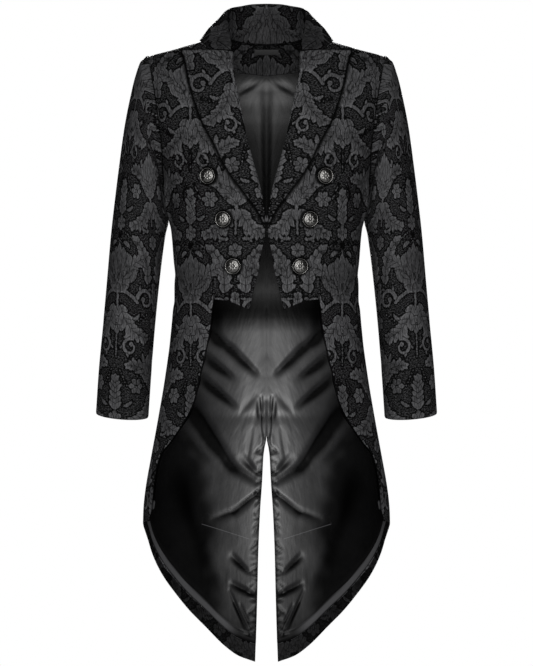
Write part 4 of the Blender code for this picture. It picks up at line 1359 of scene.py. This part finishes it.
def satin_material(name, base, roughness, pressed_in=True):
    """Smooth black satin with a fine weave and small wrinkles, plain or with the lining's painted light and
    shade and its painted highlights.
    """
    n = Nodes(name)
    cloth = n.attribute("cloth", "Vector")
    weave = n.noise(n.stretched(cloth, 1500.0, 220.0), 1.0, 2.0, 0.6)
    cloudy = n.noise(cloth, 11.0, 3.0, 0.55)
    wrinkle = n.noise(n.stretched(cloth, 34.0, 12.0), 1.0, 3.0, 0.5)
    light = n.ramp(cloudy, 0.3, 0.7, 0.85, 1.1)
    tone = n.ramp(weave, 0.3, 0.7, base * 0.75, base * 1.3) + n.ramp(cloudy, 0.3, 0.7, 0.0, base * 0.3)
    if pressed_in:
        # The lining's painted light and shade darken its colour and gloss; the puff at the hem and the sharp
        # creases get painted highlights
        light = n.attribute("light") * light
        pressed = n.ramp(abs(n.attribute("pressed")), 0.9, 0.25)
        tone = tone * light + n.attribute("stripe") * 0.048 + pressed * 0.045
    n.shade(Base_Color=n.grey(tone), Roughness=n.ramp(cloudy, 0.25, 0.75, roughness - 0.04, roughness + 0.05),
            Specular_IOR_Level=light * SATIN_GLOSS)
    n.bump(wrinkle + weave * 0.02, 0.0035, 0.36)
    return n.material


def silver_material():
    """Worn antique silver, darker in its hollows."""
    n = Nodes("antique_silver_metal")
    stain = n.noise(n.add("ShaderNodeTexCoord", out=3), 200.0, 3.0, 0.5)
    proud = n.ramp(n.attribute("relief"), -0.06, 0.08, 0.015, 1.0)
    tone = n.ramp(stain, 0.3, 0.7, 0.75, 1.0) * proud
    n.shade(Base_Color=n.mix(tone, TARNISH_COLOUR, SILVER_COLOUR),
            Roughness=n.ramp(stain, 0.3, 0.7, 0.30, 0.42), Metallic=1.0)
    n.bump(stain, 0.0001, 0.3)
    return n.material


def black_metal_material():
    """Black enamelled wire."""
    n = Nodes("black_metal_wire")
    speck = n.noise(n.add("ShaderNodeTexCoord", out=3), 700.0, 2.0)
    n.shade(Base_Color=n.grey(n.ramp(speck, 0.3, 0.7, 0.010, 0.030)),
            Roughness=n.ramp(speck, 0.3, 0.7, 0.3, 0.45), Metallic=1.0)
    return n.material


def label_material():
    """Bare woven tape."""
    n = Nodes("label_tape")
    cloth = n.attribute("cloth", "Vector")
    settings = {"Vector": cloth, "Scale": 420.0, "Distortion": 0.6, "Detail": 1.0}
    rib = n.add("ShaderNodeTexWave", settings, out=1)
    speck = n.noise(cloth, 1500.0, 2.0)
    edge = n.ramp(n.attribute("edge"), 0.3, 1.2, 0.4, 1.0)
    n.shade(Base_Color=n.grey(edge * (n.ramp(speck, 0.3, 0.7, 0.004, 0.012) + rib * 0.006)),
            Roughness=n.ramp(speck, 0.3, 0.7, 0.5, 0.65))
    n.bump(rib, 0.0002, 0.5)
    return n.material


# The stage


def stage():
    """A pale floor, soft studio lights and the camera at the photograph's angle."""
    floor_mesh = bpy.data.meshes.new("floor")
    corners = ((-1, -1), (1, -1), (1, 1), (-1, 1))
    floor_mesh.from_pydata([(x * FLOOR_HALF, y * FLOOR_HALF, FLOOR_HEIGHT * MM) for x, y in corners], [],
                           [(0, 1, 2, 3)])
    pale = Nodes("pale_floor")
    pale.shade(Base_Color=(FLOOR_TONE, FLOOR_TONE, FLOOR_TONE, 1), Roughness=0.9)
    floor_mesh.materials.append(pale.material)
    in_scene("floor", floor_mesh)

    world = bpy.data.worlds.new("studio")
    bpy.context.scene.world = world
    world.use_nodes = True
    tree = world.node_tree
    tree.nodes.clear()
    seen, soft = (tree.nodes.new("ShaderNodeBackground") for _ in range(2))
    for background, strength in ((seen, 1.0), (soft, AMBIENT)):
        background.inputs["Color"].default_value = (1, 1, 1, 1)
        background.inputs["Strength"].default_value = strength
    path = tree.nodes.new("ShaderNodeLightPath")
    both = tree.nodes.new("ShaderNodeMixShader")
    out = tree.nodes.new("ShaderNodeOutputWorld")
    tree.links.new(path.outputs["Is Camera Ray"], both.inputs[0])
    tree.links.new(soft.outputs[0], both.inputs[1])
    tree.links.new(seen.outputs[0], both.inputs[2])
    tree.links.new(both.outputs[0], out.inputs["Surface"])

    for name, x, y, z, size, power in LIGHTS:
        lamp = bpy.data.lights.new(name, "AREA")
        lamp.size = size
        lamp.energy = power
        lit = in_scene(name, lamp)
        lit.location = (x, y, z)
        aim = np.array(LIGHT_AIM) - (x, y, z)
        turn_z = math.atan2(aim[1], aim[0]) - math.pi / 2
        turn_x = math.pi / 2 + math.atan2(aim[2], math.hypot(aim[0], aim[1]))
        lit.rotation_euler = (turn_x, 0, turn_z)

    camera_data = bpy.data.cameras.new("camera")
    camera_data.sensor_width = SENSOR
    camera_data.lens = SENSOR * CAMERA_DISTANCE / (FRAME_HEIGHT_PX * MM_PER_PX)
    camera_data.clip_end = 50
    camera = in_scene("camera", camera_data)
    camera.location = (0, -CAMERA_DISTANCE * MM, CAMERA_HEIGHT * MM)
    camera.rotation_euler = (math.pi / 2, 0, 0)
    bpy.context.scene.camera = camera
    bpy.context.scene.view_settings.view_transform = "Standard"


def main():
    """Dresses the whole coat and lights it."""
    brocade = brocade_material("brocade_cloth", 1.0)
    shaded = brocade_material("collar_cloth", COLLAR_SHADED_TONE)
    # Darker brocade for the tail facing, as painted shade
    facing = brocade_material("facing_shaded_brocade", FACING_SHADED_TONE)
    lining_satin = satin_material("lining_satin", LINING_TONE, 0.38)
    shaded_inner_satin = satin_material("shaded_inner_satin", INNER_SHADED_TONE, 0.42, pressed_in=False)
    front = front_places(FRONT_FINE)
    side = side_places(SIDE_FINE, SKIRT_FINE, HEM_ROWS)
    back = back_places(BACK_FINE, SKIRT_FINE, HEM_ROWS, SHOULDER_FINE)
    body_panel("front", front, False, brocade, shaded_inner_satin, ["side_body"])
    body_panel("side_body", side, False, brocade, brocade, ["back"])
    body_panel("back", back, True, brocade, brocade, ["side_body"])
    sleeve(brocade, shaded_inner_satin)
    collar(shaded)
    lapel(brocade)
    thin_side = side_places(LINING_FINE, LINING_SKIRT_FINE, LINING_HEM_ROWS)
    thin_back = back_places(LINING_FINE, LINING_SKIRT_FINE, LINING_HEM_ROWS, LINING_SHOULDER_FINE)
    above_vent = thin_back[:, 0, 1] > VENT[0][1]
    closer = SEAM * 0.95
    thin_side[:, -1, 0] += closer
    thin_back[:, -1, 0] -= closer
    thin_back[above_vent, 0, 0] += closer
    neck_facing(back, shaded)
    tail_facing(side, back, facing)
    lining("side_lining", thin_side[:-LINING_HEM_ROWS], lining_satin, ["side_body"])
    lining("back_lining", thin_back[3 * LINING_SHOULDER_FINE:-LINING_HEM_ROWS], lining_satin, ["back"])
    label(label_material())
    silver = silver_material()
    for number, spot in enumerate(BUTTONS, start=1):
        button(number, spot, 1, silver)
        button(number, spot, -1, silver)
    hook_and_eye(black_metal_material())
    stage()


main()
